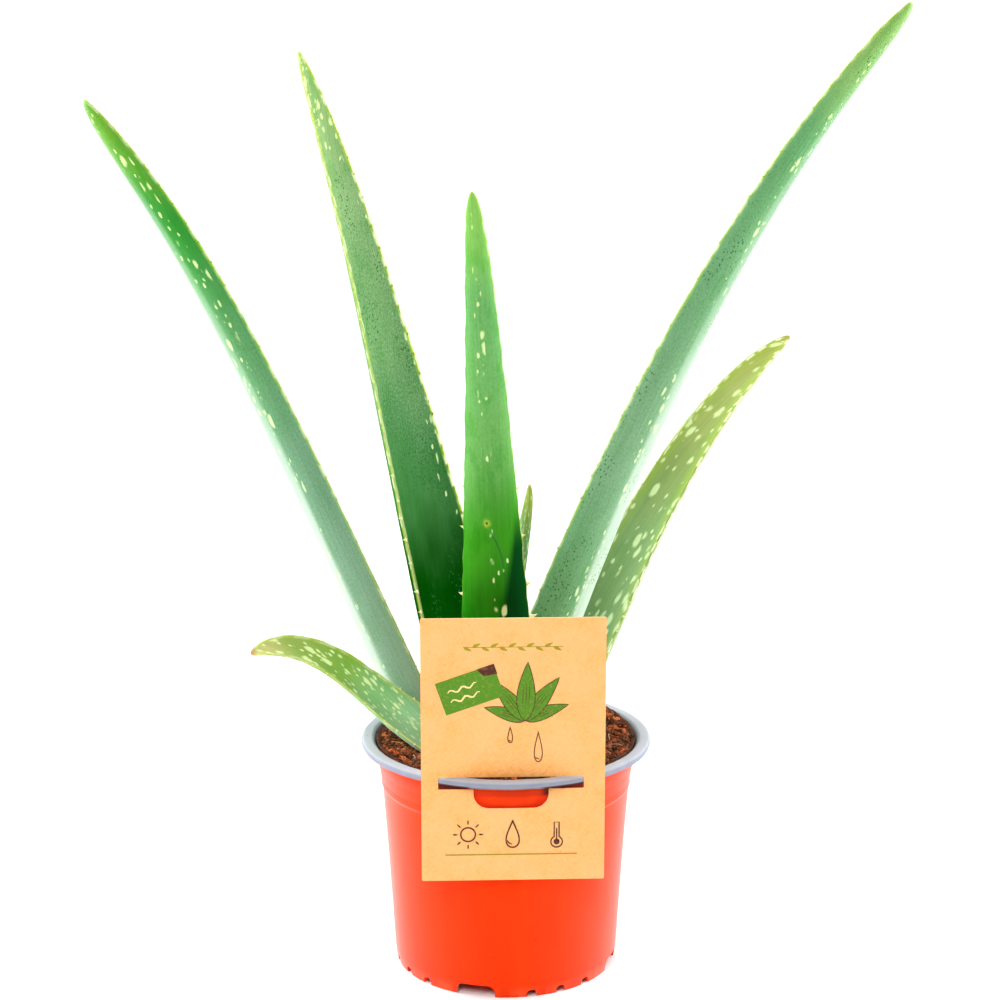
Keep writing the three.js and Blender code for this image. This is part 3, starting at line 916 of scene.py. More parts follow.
def teeth_tree():
    """Adds hooked teeth at even steps along both margins, smaller towards the tip."""
    inputs = {
        "Geometry": ("Geometry", None), "Gap": 9 * MM, "Size": 1.4 * MM, "From": 0.06, "To": 0.95,
        "Least": 0.4, "Fall": 1.6, "Seed": ("Int", 0), "Horn": ("Material", None),
    }
    tree, given, made = new_tree("margin_teeth", "GeometryNodeTree", inputs, {"Geometry": "Geometry"})
    margin, share = from_mesh(tree, "margin"), from_mesh(tree, "grown")
    upwards, outwards = (from_mesh(tree, name, "FLOAT_VECTOR") for name in ("upwards", "outwards"))

    # Steps of one gap along each margin, each moved a little up or down the leaf.
    feet = worked(given["Geometry"], "MeshToCurve", {"Selection": margin.math("GREATER_THAN", 0.9)})
    feet = worked(feet, "ResampleCurve", {"Length": given["Gap"]}, mode="LENGTH")
    jitter = random_value(-0.28, 0.28, given["Seed"] + 1) * given["Gap"]
    feet = worked(feet, "SetPosition", {"Offset": upwards.vector("SCALE", jitter)})

    size = given["Size"] * random_value(0.7, 1.2, given["Seed"])
    size = size * (given["Least"] + (1 - share) ** given["Fall"] * (1 - given["Least"]))
    facing = {"Primary Axis": outwards, "Secondary Axis": upwards}
    axes = {"primary_axis": "Z", "secondary_axis": "X"}
    standing = {
        "Selection": share.math("GREATER_THAN", given["From"]) * share.math("LESS_THAN", given["To"]),
        "Instance": tooth(tree),
        "Rotation": add(tree, "FunctionNodeAxesToRotation", 0, facing, **axes),
        "Scale": vector_of(size, size, size),
    }
    teeth = worked(worked(feet, "InstanceOnPoints", standing), "RealizeInstances")
    teeth = worked(teeth, "SetMaterial", {"Material": given["Horn"]})
    both = worked(given["Geometry"], "JoinGeometry")
    both.plug(teeth, both.socket.node.inputs["Geometry"])
    put_out(made, Geometry=both)
    return tree


def tooth(tree):
    """A flat spike one unit long on a wide foot, hooked towards the leaf's tip."""
    long = 1.45
    sizes = {"Vertices": 8, "Side Segments": 4, "Radius Top": 0.0, "Radius Bottom": 0.9, "Depth": long}
    spike = add(tree, "GeometryNodeMeshCone", "Mesh", sizes)
    along, side, out = add(tree, "GeometryNodeInputPosition").split()
    slim = (1 - (out / long).math("MAXIMUM", 0.0) * 0.35) * 0.95
    hooked = along * slim + out * out * 0.26
    shaped = vector_of(hooked, side * 0.36, out - 0.42)
    return worked(worked(spike, "SetPosition", {"Position": shaped}), "SetShadeSmooth")


GREENS_MEET = {"Low": (0.2, 0.42), "Middle": (0.42, 0.6), "High": (0.6, 0.8), "Tip": (0.8, 0.96)}
BLOOM_GREY = (0.42, 0.56, 0.43)
RIDGE_HIGHLIGHT_WHITE = (0.80, 0.87, 0.81)
FRECKLE_GREEN = (0.02, 0.11, 0.03)
FLANK_GREEN = (0.002, 0.040, 0.006)
SCAR_YELLOW = (0.62, 0.60, 0.05)
SCAR_AT = (-0.9 * MM, 110.4 * MM)
SPOT_NETS = ((300, 125, 1.0, 7.0), (560, 250, 0.6, 8.0))
FLANK_FROM, FLANK_SLOPE = 0.267, 41 * MM
CRACK_START, CRACK_END, CRACK_SPREAD = 4 * MM, 32 * MM, 6.5 * MM
SPOT_CREAM = (0.56, 0.77, 0.44)
SPOT_YELLOW = (0.68, 0.80, 0.32)
MARGIN_GREEN = (0.34, 0.52, 0.03)
MARGIN_PALE = (0.80, 0.84, 0.34)
BEAD_CREAM = (0.84, 0.88, 0.58)
DRY_TIP = (0.40, 0.21, 0.06)


def aloe_skin_group():
    """Living leaf skin: greens from foot to tip, wax bloom, pale spots, freckles and margins."""
    inputs = {
        "Skin": ("Vector", None), "Place": ("Vector", None), "Aside": 0.0,
        "Foot": ("Color", None), "Low": ("Color", None), "Middle": ("Color", None),
        "High": ("Color", None), "Tip": ("Color", None), "Mottle": 0.25, "Ridge": 0.0, "Ridge At": 0.0,
        "Bloom": 0.5, "Bloom From": 0.1, "Bloom To": 0.8, "Spots From": 0.15, "Spots Low": 0.1,
        "Spots High": 0.5, "Spot Size": 1.0, "Spots Wide": 1.2, "Row Low": 0.0, "Row High": 0.0,
        "Row Width": 2.0, "Freckles": 0.0, "Margin": 0.5, "Margin Width": 1.9 * MM, "Beads": 0.3,
        "Dry": 0.0, "Shade": 0.0, "Scar": 0.0, "Seed": 0.0,
    }
    outputs = {"Colour": "Color", "Roughness": "Float", "Height": "Float"}
    tree, given, made = new_tree("aloe_skin", "ShaderNodeTree", inputs, outputs)
    t, edge, inner = given["Place"].split()
    u, v, _ = given["Skin"].split()
    side = given["Seed"] + inner * 3.7

    def on_skin(across, up, shift=0.0):
        """Skin coordinates with this many units in a metre across and up the leaf."""
        return vector_of(u * across, v * up, side + shift)

    # Greens from the foot to the tip, with slow patches and fine long lines.
    patches = cloudy(on_skin(60, 22), 1.0, 3.0)
    lines = cloudy(on_skin(1300, 22, 1.0), 1.0, 2.0)
    grain = cloudy(on_skin(1700, 800, 2.0), 1.0, 2.0)
    drift = t + (patches - 0.5) * 0.16
    colour = given["Foot"]
    for key, (start, end) in GREENS_MEET.items():
        colour = blended(drift.fade(start, end), colour, given[key])
    lined = (lines * 0.55 + patches * 0.45).fade(0.6, 0.36) * 0.55
    colour = blended(lined, colour, tinted(colour, (0.66, 0.80, 0.62)))
    mottle = cloudy(on_skin(150, 55, 12.0), 1.0, 4.0, 0.6).fade(0.5, 0.64) * given["Mottle"]
    colour = blended(mottle, colour, tinted(colour, (0.50, 0.82, 0.45)))

    # Wax bloom: a thin grey film over part of the length, worn into fine speckles. The whitish band
    # along the ridge of the belly is a painted highlight.
    speckle = cloudy(on_skin(1500, 900, 3.0), 1.0, 4.0, 0.7).fade(0.36, 0.64)
    film = drift.fade(given["Bloom From"] - 0.1, given["Bloom From"] + 0.1)
    film = film * drift.fade(given["Bloom To"] + 0.1, given["Bloom To"] - 0.1) * given["Bloom"]
    bare = film * (1 - speckle) * 0.6
    colour = blended(bare, colour, tinted(colour, (0.52, 0.72, 0.46)))
    colour = blended(film * speckle * 0.2, colour, BLOOM_GREY)
    # Painted highlight along the belly's ridge.
    ridge = (given["Aside"] - given["Ridge At"] + (grain - 0.5) * 0.1).math("ABSOLUTE")
    ridge = ridge.fade(0.46, 0.24) * (1 - inner) * (0.3 + t.fade(0.65, 0.25) * 0.7)
    colour = blended(ridge * t.fade(0.95, 0.75) * given["Ridge"], colour, RIDGE_HIGHLIGHT_WHITE)

    # Freckles: tiny dark dots in loose clusters.
    cluster = cloudy(on_skin(95, 30, 4.0), 1.0, 1.0).fade(0.5, 0.66)
    dots = cells(on_skin(800, 620, 5.0), 1.0).fade(0.34, 0.2)
    colour = blended(cluster * dots * given["Freckles"], colour, FRECKLE_GREEN)

    # One flank is dark near the foot where it turned away from the light. A healed scar is a
    # yellow ring round a dark dot, with a thin crack below it.
    flank = (u - (t - FLANK_FROM) * FLANK_SLOPE).fade(0.0, 3.5 * MM) * t.fade(0.5, 0.4)
    colour = blended(flank * (1 - inner) * given["Shade"], colour, FLANK_GREEN)
    from_scar = vector_of(u - SCAR_AT[0], (v - SCAR_AT[1]) * 0.7, 0.0).vector("LENGTH")
    halo = (from_scar + (grain - 0.5) * 1.2 * MM).fade(1.8 * MM, 0.3 * MM)
    colour = blended(halo * 0.45 * given["Scar"], colour, SCAR_YELLOW)
    below = (v - SCAR_AT[1]) * -1
    slant = (below / (11.8 * MM)).math("TANH") * CRACK_SPREAD + (patches - 0.5) * 1.2 * MM
    crack = (u + 1.9 * MM - slant).math("ABSOLUTE").fade(0.42 * MM, 0.14 * MM)
    crack = crack * below.fade(CRACK_START, 6 * MM) * below.fade(CRACK_END, 12 * MM) * 0.8
    mark = from_scar.fade(0.6 * MM, 0.25 * MM).math("MAXIMUM", crack)
    colour = blended(mark * given["Scar"], colour, FRECKLE_GREEN)

    # Pale spots: soft uneven ovals in some of the cells of a stretched net, large ones and small
    # ones. Some leaves hold them in one long row, or spread them wide only near the tip. A net
    # has cells in a metre across and up the leaf, a share of them with spots, and a shift.
    row = given["Row Low"] + t.fade(0.45, 0.7) * (given["Row High"] - given["Row Low"])
    beside = (given["Aside"] - row).math("ABSOLUTE")
    zone = beside.fade(given["Row Width"] + 0.1, given["Row Width"] - 0.1)
    zone = zone.math("MAXIMUM", t.fade(given["Spots Wide"] - 0.06, given["Spots Wide"] + 0.06))
    upper = t.fade(given["Spots From"], given["Spots From"] + 0.35)
    density = given["Spots Low"] + upper * (given["Spots High"] - given["Spots Low"])
    rows = cloudy(on_skin(120, 12, 6.0), 1.0, 1.0).fade(0.34, 0.6)
    spots = None
    for wide, long, share, shift in SPOT_NETS:
        net = on_skin(wide, long, shift).vector("SCALE", 1 / given["Spot Size"].math("MAXIMUM", 0.1))
        luck, size, _ = cells(net, 1.0, "Color", 0.85).split()
        there = luck.math("LESS_THAN", density * share * (0.3 + rows) * zone)
        nudge = cloudy(net, 2.2, 1.0, output="Color")
        nudge = nudge.vector("SUBTRACT", (0.5, 0.5, 0.5)).vector("SCALE", 0.3)
        rim = 0.13 + size * 0.17
        oval = cells(net.vector("ADD", nudge), 1.0, "Distance", 0.85)
        oval = oval.fade(rim + 0.1, rim - 0.06) * there
        spots = oval if spots is None else spots.math("MAXIMUM", oval)
    spots = spots * edge.fade(0.4 * MM, 1.6 * MM)
    pale = blended(t, SPOT_CREAM, SPOT_YELLOW)
    colour = blended(spots * 0.85, colour, pale)

    # Margins turn yellow-green and end in a thin pale horny line; a tip may be dry.
    yellow = (edge + (patches - 0.5) * 1.6 * MM).fade(given["Margin Width"], 0.3 * MM)
    colour = blended(yellow * given["Margin"] * (1 - spots), colour, MARGIN_GREEN)
    horny = edge.fade(0.55 * MM, 0.2 * MM) * cloudy(on_skin(0, 160, 9.0), 1.0).fade(0.3, 0.5)
    colour = blended(horny * given["Margin"], colour, MARGIN_PALE)
    beads = cells(vector_of(0.0, v * 112 + side, 0.0), 1.0, "Distance", 0.35)
    beads = beads.fade(0.44, 0.27)
    beads = beads * (edge + (grain - 0.5) * 0.8 * MM).fade(1.7 * MM, 0.8 * MM)
    colour = blended(beads * given["Beads"], colour, BEAD_CREAM)
    colour = blended((t + grain * 0.01).fade(0.97, 1.0) * given["Dry"], colour, DRY_TIP)

    rough = 0.36 + film * 0.25 + grain * 0.1 + spots * 0.08
    height = lines * 0.35 + grain * 0.2 + spots * 0.3 + patches * 0.6 + horny * 0.4
    put_out(made, Colour=colour, Roughness=rough, Height=height)
    return tree


ALOE_SKIN = aloe_skin_group()


def skin_material(name, look, shine):
    """One leaf's skin, with its look, and its shine as specular, sheen and sheen roughness."""
    gloss, sheen, spread = shine
    constants = {"Specular_IOR_Level": gloss, "Sheen_Weight": sheen, "Sheen_Roughness": spread}
    material, tree, shader = new_material(name, **constants)
    inputs = {
        "Skin": add(tree, "ShaderNodeUVMap", uv_map="skin"),
        "Place": add(tree, "ShaderNodeAttribute", "Vector", attribute_name="place"),
        "Aside": add(tree, "ShaderNodeAttribute", "Fac", attribute_name="aside"),
    }
    skin = group_in(tree, ALOE_SKIN, inputs | look)
    finish_surface(shader, skin["Colour"], skin["Roughness"], skin["Height"], 0.22 * MM)
    return material


HORN_WHITE = (0.80, 0.84, 0.70)
HORN_YELLOW = (0.66, 0.72, 0.14)


def horn_material():
    """Teeth: whitish horn near the leaf's foot, which turns yellow-green further up."""
    material, tree, shader = new_material("leaf_horn", Specular_IOR_Level=0.45)
    grown_to = add(tree, "ShaderNodeAttribute", "Fac", attribute_name="grown")
    where = add(tree, "ShaderNodeTexCoord", "Object")
    mottle = cloudy(where, 900.0, 2.0)
    colour = blended((grown_to + mottle * 0.2).fade(0.15, 0.6), HORN_WHITE, HORN_YELLOW)
    finish_surface(shader, colour, 0.4 + mottle * 0.15, mottle, 0.03 * MM)
    return material


HORN = horn_material()

LOOKS = {
    "leaf_left_long": {
        "Foot": (0.222, 0.377, 0.265), "Low": (0.150, 0.311, 0.184),
        "Middle": (0.091, 0.286, 0.102), "High": (0.027, 0.248, 0.025),
        "Tip": (0.113, 0.316, 0.024),
        "Bloom": 0.5, "Bloom From": 0.05, "Bloom To": 0.66, "Spots Low": 1.9, "Spots High": 2.2,
        "Spot Size": 1.15, "Freckles": 0.1, "Margin": 0.55, "Spots From": 0.5, "Ridge": 0.42,
        "Ridge At": 0.1, "Row Low": 0.25, "Row High": 0.58, "Row Width": 0.28,
    },
    "leaf_left_upright": {
        # Foot and Low are far darker than the leaf's own green: painted shade between the leaves.
        "Foot": (0.001, 0.054, 0.001), "Low": (0.048, 0.180, 0.047),
        "Middle": (0.129, 0.276, 0.094), "High": (0.204, 0.349, 0.135),
        "Tip": (0.272, 0.424, 0.166),
        "Bloom": 0.9, "Bloom From": 0.42, "Bloom To": 0.85, "Spots Low": 0.5, "Spots High": 1.3,
        "Spot Size": 1.1, "Freckles": 0.9, "Margin": 0.7, "Spots From": 0.5, "Mottle": 0.5,
        "Spots Wide": 0.88, "Row Low": -0.85, "Row High": -0.85, "Row Width": 0.18, "Beads": 0.6,
    },
    "leaf_front": {
        # Foot and Low are far darker than the leaf's own green: painted shade between the leaves.
        "Foot": (0.001, 0.115, 0.001), "Low": (0.040, 0.235, 0.012),
        "Middle": (0.125, 0.340, 0.077), "High": (0.135, 0.366, 0.108),
        "Tip": (0.193, 0.436, 0.090),
        "Bloom": 0.3, "Bloom From": 0.5, "Bloom To": 0.85, "Spots Low": 0.14, "Spots High": 1.7,
        "Spot Size": 1.05, "Freckles": 0.1, "Margin": 0.35, "Shade": 1.0, "Scar": 1.0,
        "Row Low": 0.25, "Row High": -0.05, "Row Width": 0.24, "Mottle": 0.55,
    },
    "leaf_right_long": {
        "Foot": (0.124, 0.330, 0.137), "Low": (0.184, 0.355, 0.193),
        "Middle": (0.133, 0.321, 0.142), "High": (0.115, 0.325, 0.121),
        "Tip": (0.219, 0.403, 0.106),
        "Bloom": 0.5, "Bloom From": 0.0, "Bloom To": 0.8, "Spots Low": 1.3, "Spots High": 1.1,
        "Spot Size": 1.0, "Freckles": 0.9, "Margin": 0.6, "Ridge": 0.38, "Ridge At": 0.15,
        "Row Low": -0.25, "Row High": -0.2, "Row Width": 0.22,
    },
    "leaf_right_short": {
        "Foot": (0.165, 0.318, 0.115), "Low": (0.202, 0.350, 0.125),
        "Middle": (0.240, 0.332, 0.093), "High": (0.350, 0.410, 0.115),
        "Tip": (0.330, 0.357, 0.058),
        "Bloom": 0.15, "Bloom From": 0.1, "Bloom To": 0.6, "Spots Low": 1.7, "Spots High": 0.9,
        "Spot Size": 1.5, "Spots From": 0.45, "Margin": 0.42, "Margin Width": 6 * MM, "Beads": 0.9,
        "Dry": 0.3,
    },
    "leaf_young": {
        "Foot": (0.300, 0.400, 0.140), "Low": (0.300, 0.400, 0.140),
        "Middle": (0.300, 0.400, 0.120), "High": (0.197, 0.379, 0.153),
        "Tip": (0.357, 0.432, 0.074),
        "Bloom": 0.1, "Bloom From": 0.1, "Bloom To": 0.6, "Spots Low": 1.2, "Spots High": 1.2,
        "Spot Size": 0.8, "Margin": 0.4, "Dry": 0.3,
    },
    "leaf_left_low": {
        "Foot": (0.253, 0.518, 0.280), "Low": (0.183, 0.436, 0.154),
        "Middle": (0.178, 0.358, 0.043), "High": (0.272, 0.385, 0.077),
        "Tip": (0.431, 0.418, 0.143),
        "Bloom": 0.1, "Bloom From": 0.0, "Bloom To": 0.5, "Spots Low": 2.2, "Spots High": 2.2,
        "Spot Size": 1.05, "Margin": 0.5, "Dry": 0.9,
    },
}
SHINE = {
    "leaf_left_long": (0.12, 0.8, 0.26), "leaf_left_upright": (0.0, 0.0, 0.3),
    "leaf_front": (0.0, 0.0, 0.3), "leaf_right_long": (0.12, 0.8, 0.26),
    "leaf_right_short": (0.15, 0.3, 0.35), "leaf_young": (0.05, 0.05, 0.3),
    "leaf_left_low": (0.15, 0.3, 0.35),
}
# Each leaf's teeth: the gap and size in millimetres, the least share of the size, and its fall.
TEETH = {
    "leaf_left_long": (9.5, 1.2, 0.4, 1.6), "leaf_left_upright": (9.5, 1.5, 0.4, 1.6),
    "leaf_front": (20, 5.4, 0.06, 2.4), "leaf_right_long": (10, 1.3, 0.4, 1.6),
    "leaf_right_short": (8.5, 1.1, 0.4, 1.6), "leaf_young": (6, 0.9, 0.4, 1.6),
    "leaf_left_low": (8.5, 1.2, 0.4, 1.6),
}
MARKS = ("margin", "outwards", "upwards")

LEAF_TREE = leaf_tree()
TEETH_TREE = teeth_tree()


def in_metres(measures):
    """The leaf's measurements, with its foot's place and its lengths turned into metres."""
    scaled = {key: float(measures[key]) for key in measures if key != "Base"}
    scaled |= {key: measures[key] * MM for key in IN_MILLIMETRES}
    return scaled | {"Base": tuple(Vector(measures["Base"]) * MM)}


for number, (node, measures) in enumerate(LEAVES.items()):
    name = node + "_blade"
    look = LOOKS[node] | {"Seed": 5.3 * number}
    gap, size, least, fall = TEETH[node]
    blade = grown(
        node + "_bare",
        bpy.data.meshes.new(name),
        LEAF_TREE,
        Skin=skin_material(name, look, SHINE[node]),
        Seed=17.0 * number,
        **in_metres(measures),
    )
    teeth = {"Gap": gap * MM, "Size": size * MM, "Least": least, "Fall": fall}
    leaf = grown(name, blade.data, TEETH_TREE, Seed=40 + number, Horn=HORN, **teeth)
    bpy.data.objects.remove(blade)
    for mark in MARKS:
        leaf.data.attributes.remove(leaf.data.attributes[mark])
    belongs(leaf, "leaf_tissue", node)

# ---- care card -------------------------------------------------------------------------
# A stiff kraft card, die-cut with a slot that the pot's lip passes through and a rounded
# notch for the collar below it. It is printed in olive, green and dark brown with plain
# signs for a care card: a leaf border, a blank label, a leafy sprig, sun, water and warmth.
CARD_LEFT, CARD_RIGHT = -35.35, 36.95
CARD_FOOT, CARD_TOP = 54.3, 162.3
CARD_CORNER = 0.7
CARD_FRONT = -53.45
CARD_THICKNESS = 0.5
CARD_YAW = math.radians(2.15)
SLOT_HALF, SLOT_FOOT, SLOT_TOP = 28.7, 92.4, 97.4
NOTCH_HALF, NOTCH_FOOT, NOTCH_CORNER = 14.8, 84.3, 6
KRAFT = (0.89, 0.440, 0.168)
KRAFT_WARM = (0.88, 0.36, 0.075)
KRAFT_FLECK = (0.42, 0.20, 0.07)
KRAFT_CUT = (0.95, 0.70, 0.40)
INKS = {
    "olive": (0.32, 0.27, 0.015),
    "green": (0.085, 0.235, 0.012),
    "brown": (0.075, 0.022, 0.012),
    "cream": (0.90, 0.66, 0.30),
}
INK_ORDER = list(INKS)
BORDER_LEFT, BORDER_RIGHT, BORDER_LINE = -18.6, 20.2, 150.6
LABEL_AT, LABEL_TILT = (-16.2, 133.4), math.radians(19)
SPRIG_FOOT = (5.5, 120.5)
SPRIG = [
    (-64, 17, 5.2, -2.0), (62, 18, 5.4, 2.2), (-34, 21, 6.2, -1.4), (33, 22, 6.4, 1.6), (1, 24, 7.2, 0.6),
]
DROPS = [(10.6, 103.6, 4.6, 12.5), (-0.4, 111.6, 2.7, 6.6)]
RULE_HALF, RULE_LINE = 26, 65.1
SUN_AT, WATER_AT, BULB_AT = (-17, 73.6), (0.6, 68.0), (18, 70.2)


def on_card(x, z, lift=0.0):
    """A point of the card's face, this many millimetres in front of it, in metres."""
    return Matrix.Rotation(CARD_YAW, 3, "Z") @ Vector((x, CARD_FRONT - lift, z)) * MM


def add_slab(bm, loops, front, back, material=0, rim_material=None):
    """A flat slab on the card, from one lift to another. Loops after the first are holes."""
    rim_material = material if rim_material is None else rim_material
    for lift in (front, back):
        edges = []
        for loop in loops:
            verts = [bm.verts.new(on_card(x, z, lift)) for x, z in loop]
            edges += [bm.edges.new((verts[j], verts[(j + 1) % len(verts)])) for j in range(len(verts))]
        filled = bmesh.ops.triangle_fill(bm, use_beauty=True, use_dissolve=False, edges=edges)
        for face in filled["geom"]:
            if isinstance(face, bmesh.types.BMFace):
                face.material_index = material
    for loop in loops:
        rows = [[bm.verts.new(on_card(x, z, lift)) for x, z in loop] for lift in (front, back)]
        for j in range(len(loop)):
            k = (j + 1) % len(loop)
            face = bm.faces.new((rows[0][j], rows[0][k], rows[1][k], rows[1][j]))
            face.material_index = rim_material


def build_card(bm):
    low_corners = [(CARD_LEFT, CARD_FOOT, CARD_CORNER), (CARD_RIGHT, CARD_FOOT, CARD_CORNER)]
    top_corners = [(CARD_RIGHT, CARD_TOP, CARD_CORNER), (CARD_LEFT, CARD_TOP, CARD_CORNER)]
    sheet = rounded(low_corners + top_corners)
    slot = [
        (-SLOT_HALF, SLOT_TOP, 0.4), (SLOT_HALF, SLOT_TOP, 0.4), (SLOT_HALF, SLOT_FOOT, 0.4),
        (NOTCH_HALF, SLOT_FOOT, 0.6), (NOTCH_HALF, NOTCH_FOOT, NOTCH_CORNER),
        (-NOTCH_HALF, NOTCH_FOOT, NOTCH_CORNER), (-NOTCH_HALF, SLOT_FOOT, 0.6),
        (-SLOT_HALF, SLOT_FOOT, 0.4),
    ]
    slot = rounded(slot, math.radians(12))
    add_slab(bm, [sheet, slot], 0.0, -CARD_THICKNESS, 0, 1)


def kraft_material(name, base, warm):
    """Kraft board: soft blotches, long fibres in every direction, a few dark flecks, and painted shade by
    the slot.
    """
    material, tree, shader = new_material(name, Specular_IOR_Level=0.18)
    where = add(tree, "ShaderNodeTexCoord", "Object")
    x, _, z = where.split()
    flat = vector_of(x, z, 0.0)
    blotch = cloudy(flat, 70.0, 5.0, 0.65)
    one_way = cloudy(vector_of(x * 240 + z * 140, z * 1300 - x * 750, 0.0), 1.0, 3.0)
    other_way = cloudy(vector_of(x * 1200 + z * 900, z * 200 - x * 260, 3.0), 1.0, 3.0)
    fibres = (one_way + other_way) * 0.5
    fleck = cells(flat.vector("MULTIPLY", (420.0, 260.0, 1.0)), 1.0).fade(0.13, 0.05)
    # Painted shade: the board turns warmer and darker just above and beside the slot, where the rim shades
    # it.
    painted_slot_shade = x.math("ABSOLUTE").fade(34 * MM, 22 * MM) * z.fade(108 * MM, 97 * MM)
    painted_slot_shade = painted_slot_shade * z.fade(86 * MM, 95 * MM)
    colour = blended(blotch.fade(0.4, 0.66) * 0.6 + painted_slot_shade * 0.6, base, warm)
    lighter = tuple(min(1.0, 1.1 * part) for part in base)
    colour = blended(fibres.fade(0.42, 0.6) * 0.7, colour, lighter)
    colour = blended(fleck * 0.45, colour, KRAFT_FLECK)
    height = fibres * 0.7 + blotch * 0.3
    finish_surface(shader, colour, 0.78 + fibres * 0.15, height, 0.05 * MM)
    return material


card = new_piece(
    "care_card_sheet",
    mesh_from("care_card_sheet", build_card),
    kraft_material("kraft_face", KRAFT, KRAFT_WARM),
    kraft_material("kraft_cut_edge", KRAFT_CUT, KRAFT),
)
belongs(card, "kraft_card", "care_card")


def shifted(points, x, z, turn=0.0):
    spin = Matrix.Rotation(turn, 2)
    return [spin @ Vector(point) + Vector((x, z)) for point in points]


def thickened(points, width):
    """The outline pushed out and in by half a width: the two loops of a closed ink line."""
    loops = []
    for side in (0.5, -0.5):
        loop = []
        for j, point in enumerate(points):
            along = (points[(j + 1) % len(points)] - points[j - 1]).normalized()
            loop.append(point + Vector((along.y, -along.x)) * width * side)
        loops.append(loop)
    return loops


def brush(points, width, ends):
    """An open ink line that thins at both ends, to this share of its width."""
    right, left = [], []
    for j, point in enumerate(points):
        along = (points[min(j + 1, len(points) - 1)] - points[max(j - 1, 0)]).normalized()
        press = ends + (1 - ends) * math.sin(math.pi * j / (len(points) - 1))
        side = Vector((along.y, -along.x)) * width * press / 2
        right.append(point + side)
        left.append(point - side)
    return right + left[::-1]


def arc_points(centre, radius, start, end, steps):
    turns = [math.radians(start + (end - start) * k / steps) for k in range(steps + 1)]
    return [Vector((centre[0] + radius * math.cos(a), centre[1] + radius * math.sin(a))) for a in turns]


def leaf_outline(length, width, bow, steps=14):
    """A pointed leaf that stands on the origin and bows sideways."""
    right, left = [], []
    for k in range(steps + 1):
        s = k / steps
        half = width / 2 * math.sin(math.pi * s**0.72) ** 0.9 if 0 < s < 1 else 0.0
        middle = Vector((bow * s * s, length * s))
        right.append(middle + Vector((half, 0)))
        if 0 < k < steps:
            left.append(middle - Vector((half, 0)))
    return right + left[::-1]


def drop_outline(width, height):
    """A water drop whose point is at the top, standing on the origin."""
    steps = 22
    points = []
    for k in range(steps):
        a = 2 * math.pi * k / steps
        pinch = math.sin(a / 2) ** 1.6
        points.append(Vector((width / 2 * math.sin(a) * pinch, height / 2 * (1 + math.cos(a)))))
    return points[::-1]


class Print:
    """Inks laid on the card one over the other, each a hair proud of the last."""

    def __init__(self, bm):
        self.bm = bm
        self.lift = 0.02

    def lay(self, ink, *loops):
        add_slab(self.bm, loops, self.lift, -0.01, INK_ORDER.index(ink))

    def next_layer(self):
        self.lift += 0.012


def build_print(bm):
    ink = Print(bm)
    print_border(ink)
    print_sprig(ink)
    print_drops(ink)
    print_label(ink)
    print_signs(ink)


def bar(left, right, low, high):
    return [(left, low), (right, low), (right, high), (left, high)]


def print_border(ink):
    """A garland of small leaves where a heading would be."""
    for k in range(11):
        tilt = math.radians(-90 + (26 if k % 2 else -26))
        leaf = shifted(leaf_outline(3.6, 1.3, 0.0, 8), BORDER_LEFT + 3.5 * k, BORDER_LINE, tilt)
        ink.lay("olive", leaf)
    ink.lay("olive", bar(BORDER_LEFT, BORDER_RIGHT, BORDER_LINE - 0.15, BORDER_LINE + 0.15))


def print_sprig(ink):
    """Five veined leaves that fan out from one foot, filled green and lined in brown."""
    for tilt, length, width, bow in SPRIG:
        place = (*SPRIG_FOOT, math.radians(-tilt))
        outline = shifted(leaf_outline(length, width, bow), *place)
        ink.next_layer()
        ink.lay("green", outline)
        ink.next_layer()
        ink.lay("brown", *thickened(outline, 0.34))
        for k in range(3):
            aside = (k - 1) * width * 0.17
            shares = (0.22, 0.36, 0.5, 0.62 + 0.07 * k)
            vein = [Vector((bow * s * s + aside, length * s)) for s in shares]
            ink.lay("brown", brush(shifted(vein, *place), 0.26, 0.1))


def print_drops(ink):
    """Two drops that fall from the sprig, each with a highlight line."""
    for x, z, width, height in DROPS:
        ink.lay("brown", *thickened(shifted(drop_outline(width, height), x, z), 0.36))
        shine = arc_points((x, z + width * 0.55), width * 0.27, 200, 290, 6)
        ink.lay("brown", brush(shine, 0.34, 0.2))


def print_label(ink):
    """A blank green label set askew, with a turned-down corner and two water lines."""
    place = (*LABEL_AT, LABEL_TILT)
    ink.next_layer()
    ink.lay("green", shifted(bar(-12, 12, -6.8, 6.8), *place))
    ink.next_layer()
    ink.lay("brown", shifted([(5.2, 6.9), (12.3, 6.9), (12.3, 2.6), (7.0, 3.4)], *place))
    ink.next_layer()
    for row in (1.6, -2.4):
        wave = [Vector((-8.5 + 1.0 * k, row + 0.75 * math.sin(1.25 * k))) for k in range(13)]
        ink.lay("cream", brush(shifted(wave, *place), 0.75, 0.5))


def print_signs(ink):
    """Signs for sun, water and warmth in a row above a plain rule."""
    ink.lay("olive", bar(-RULE_HALF, RULE_HALF, RULE_LINE - 0.2, RULE_LINE + 0.2))
    ink.lay("brown", *thickened(arc_points(SUN_AT, 2.9, 0, 345, 23), 0.55))
    for k in range(8):
        ray = [Vector((0, 4.2)), Vector((0, 5.1)), Vector((0, 6.0))]
        ink.lay("brown", brush(shifted(ray, *SUN_AT, math.radians(45 * k)), 0.6, 0.5))

    ink.lay("brown", *thickened(shifted(drop_outline(7.6, 11.4), *WATER_AT), 0.55))
    shine = arc_points((WATER_AT[0], WATER_AT[1] + 3.6), 2.2, 190, 265, 6)
    ink.lay("brown", brush(shine, 0.55, 0.3))

    x, z = BULB_AT
    tube = [Vector((x + 0.95, z + 8.2)), Vector((x - 0.95, z + 8.2))]
    ink.lay("brown", *thickened(arc_points(BULB_AT, 2.3, 115, 425, 18) + tube, 0.5))
    ink.lay("brown", arc_points(BULB_AT, 1.2, 0, 340, 17))
    ink.lay("brown", bar(x - 0.25, x + 0.25, z + 0.3, z + 5.6))


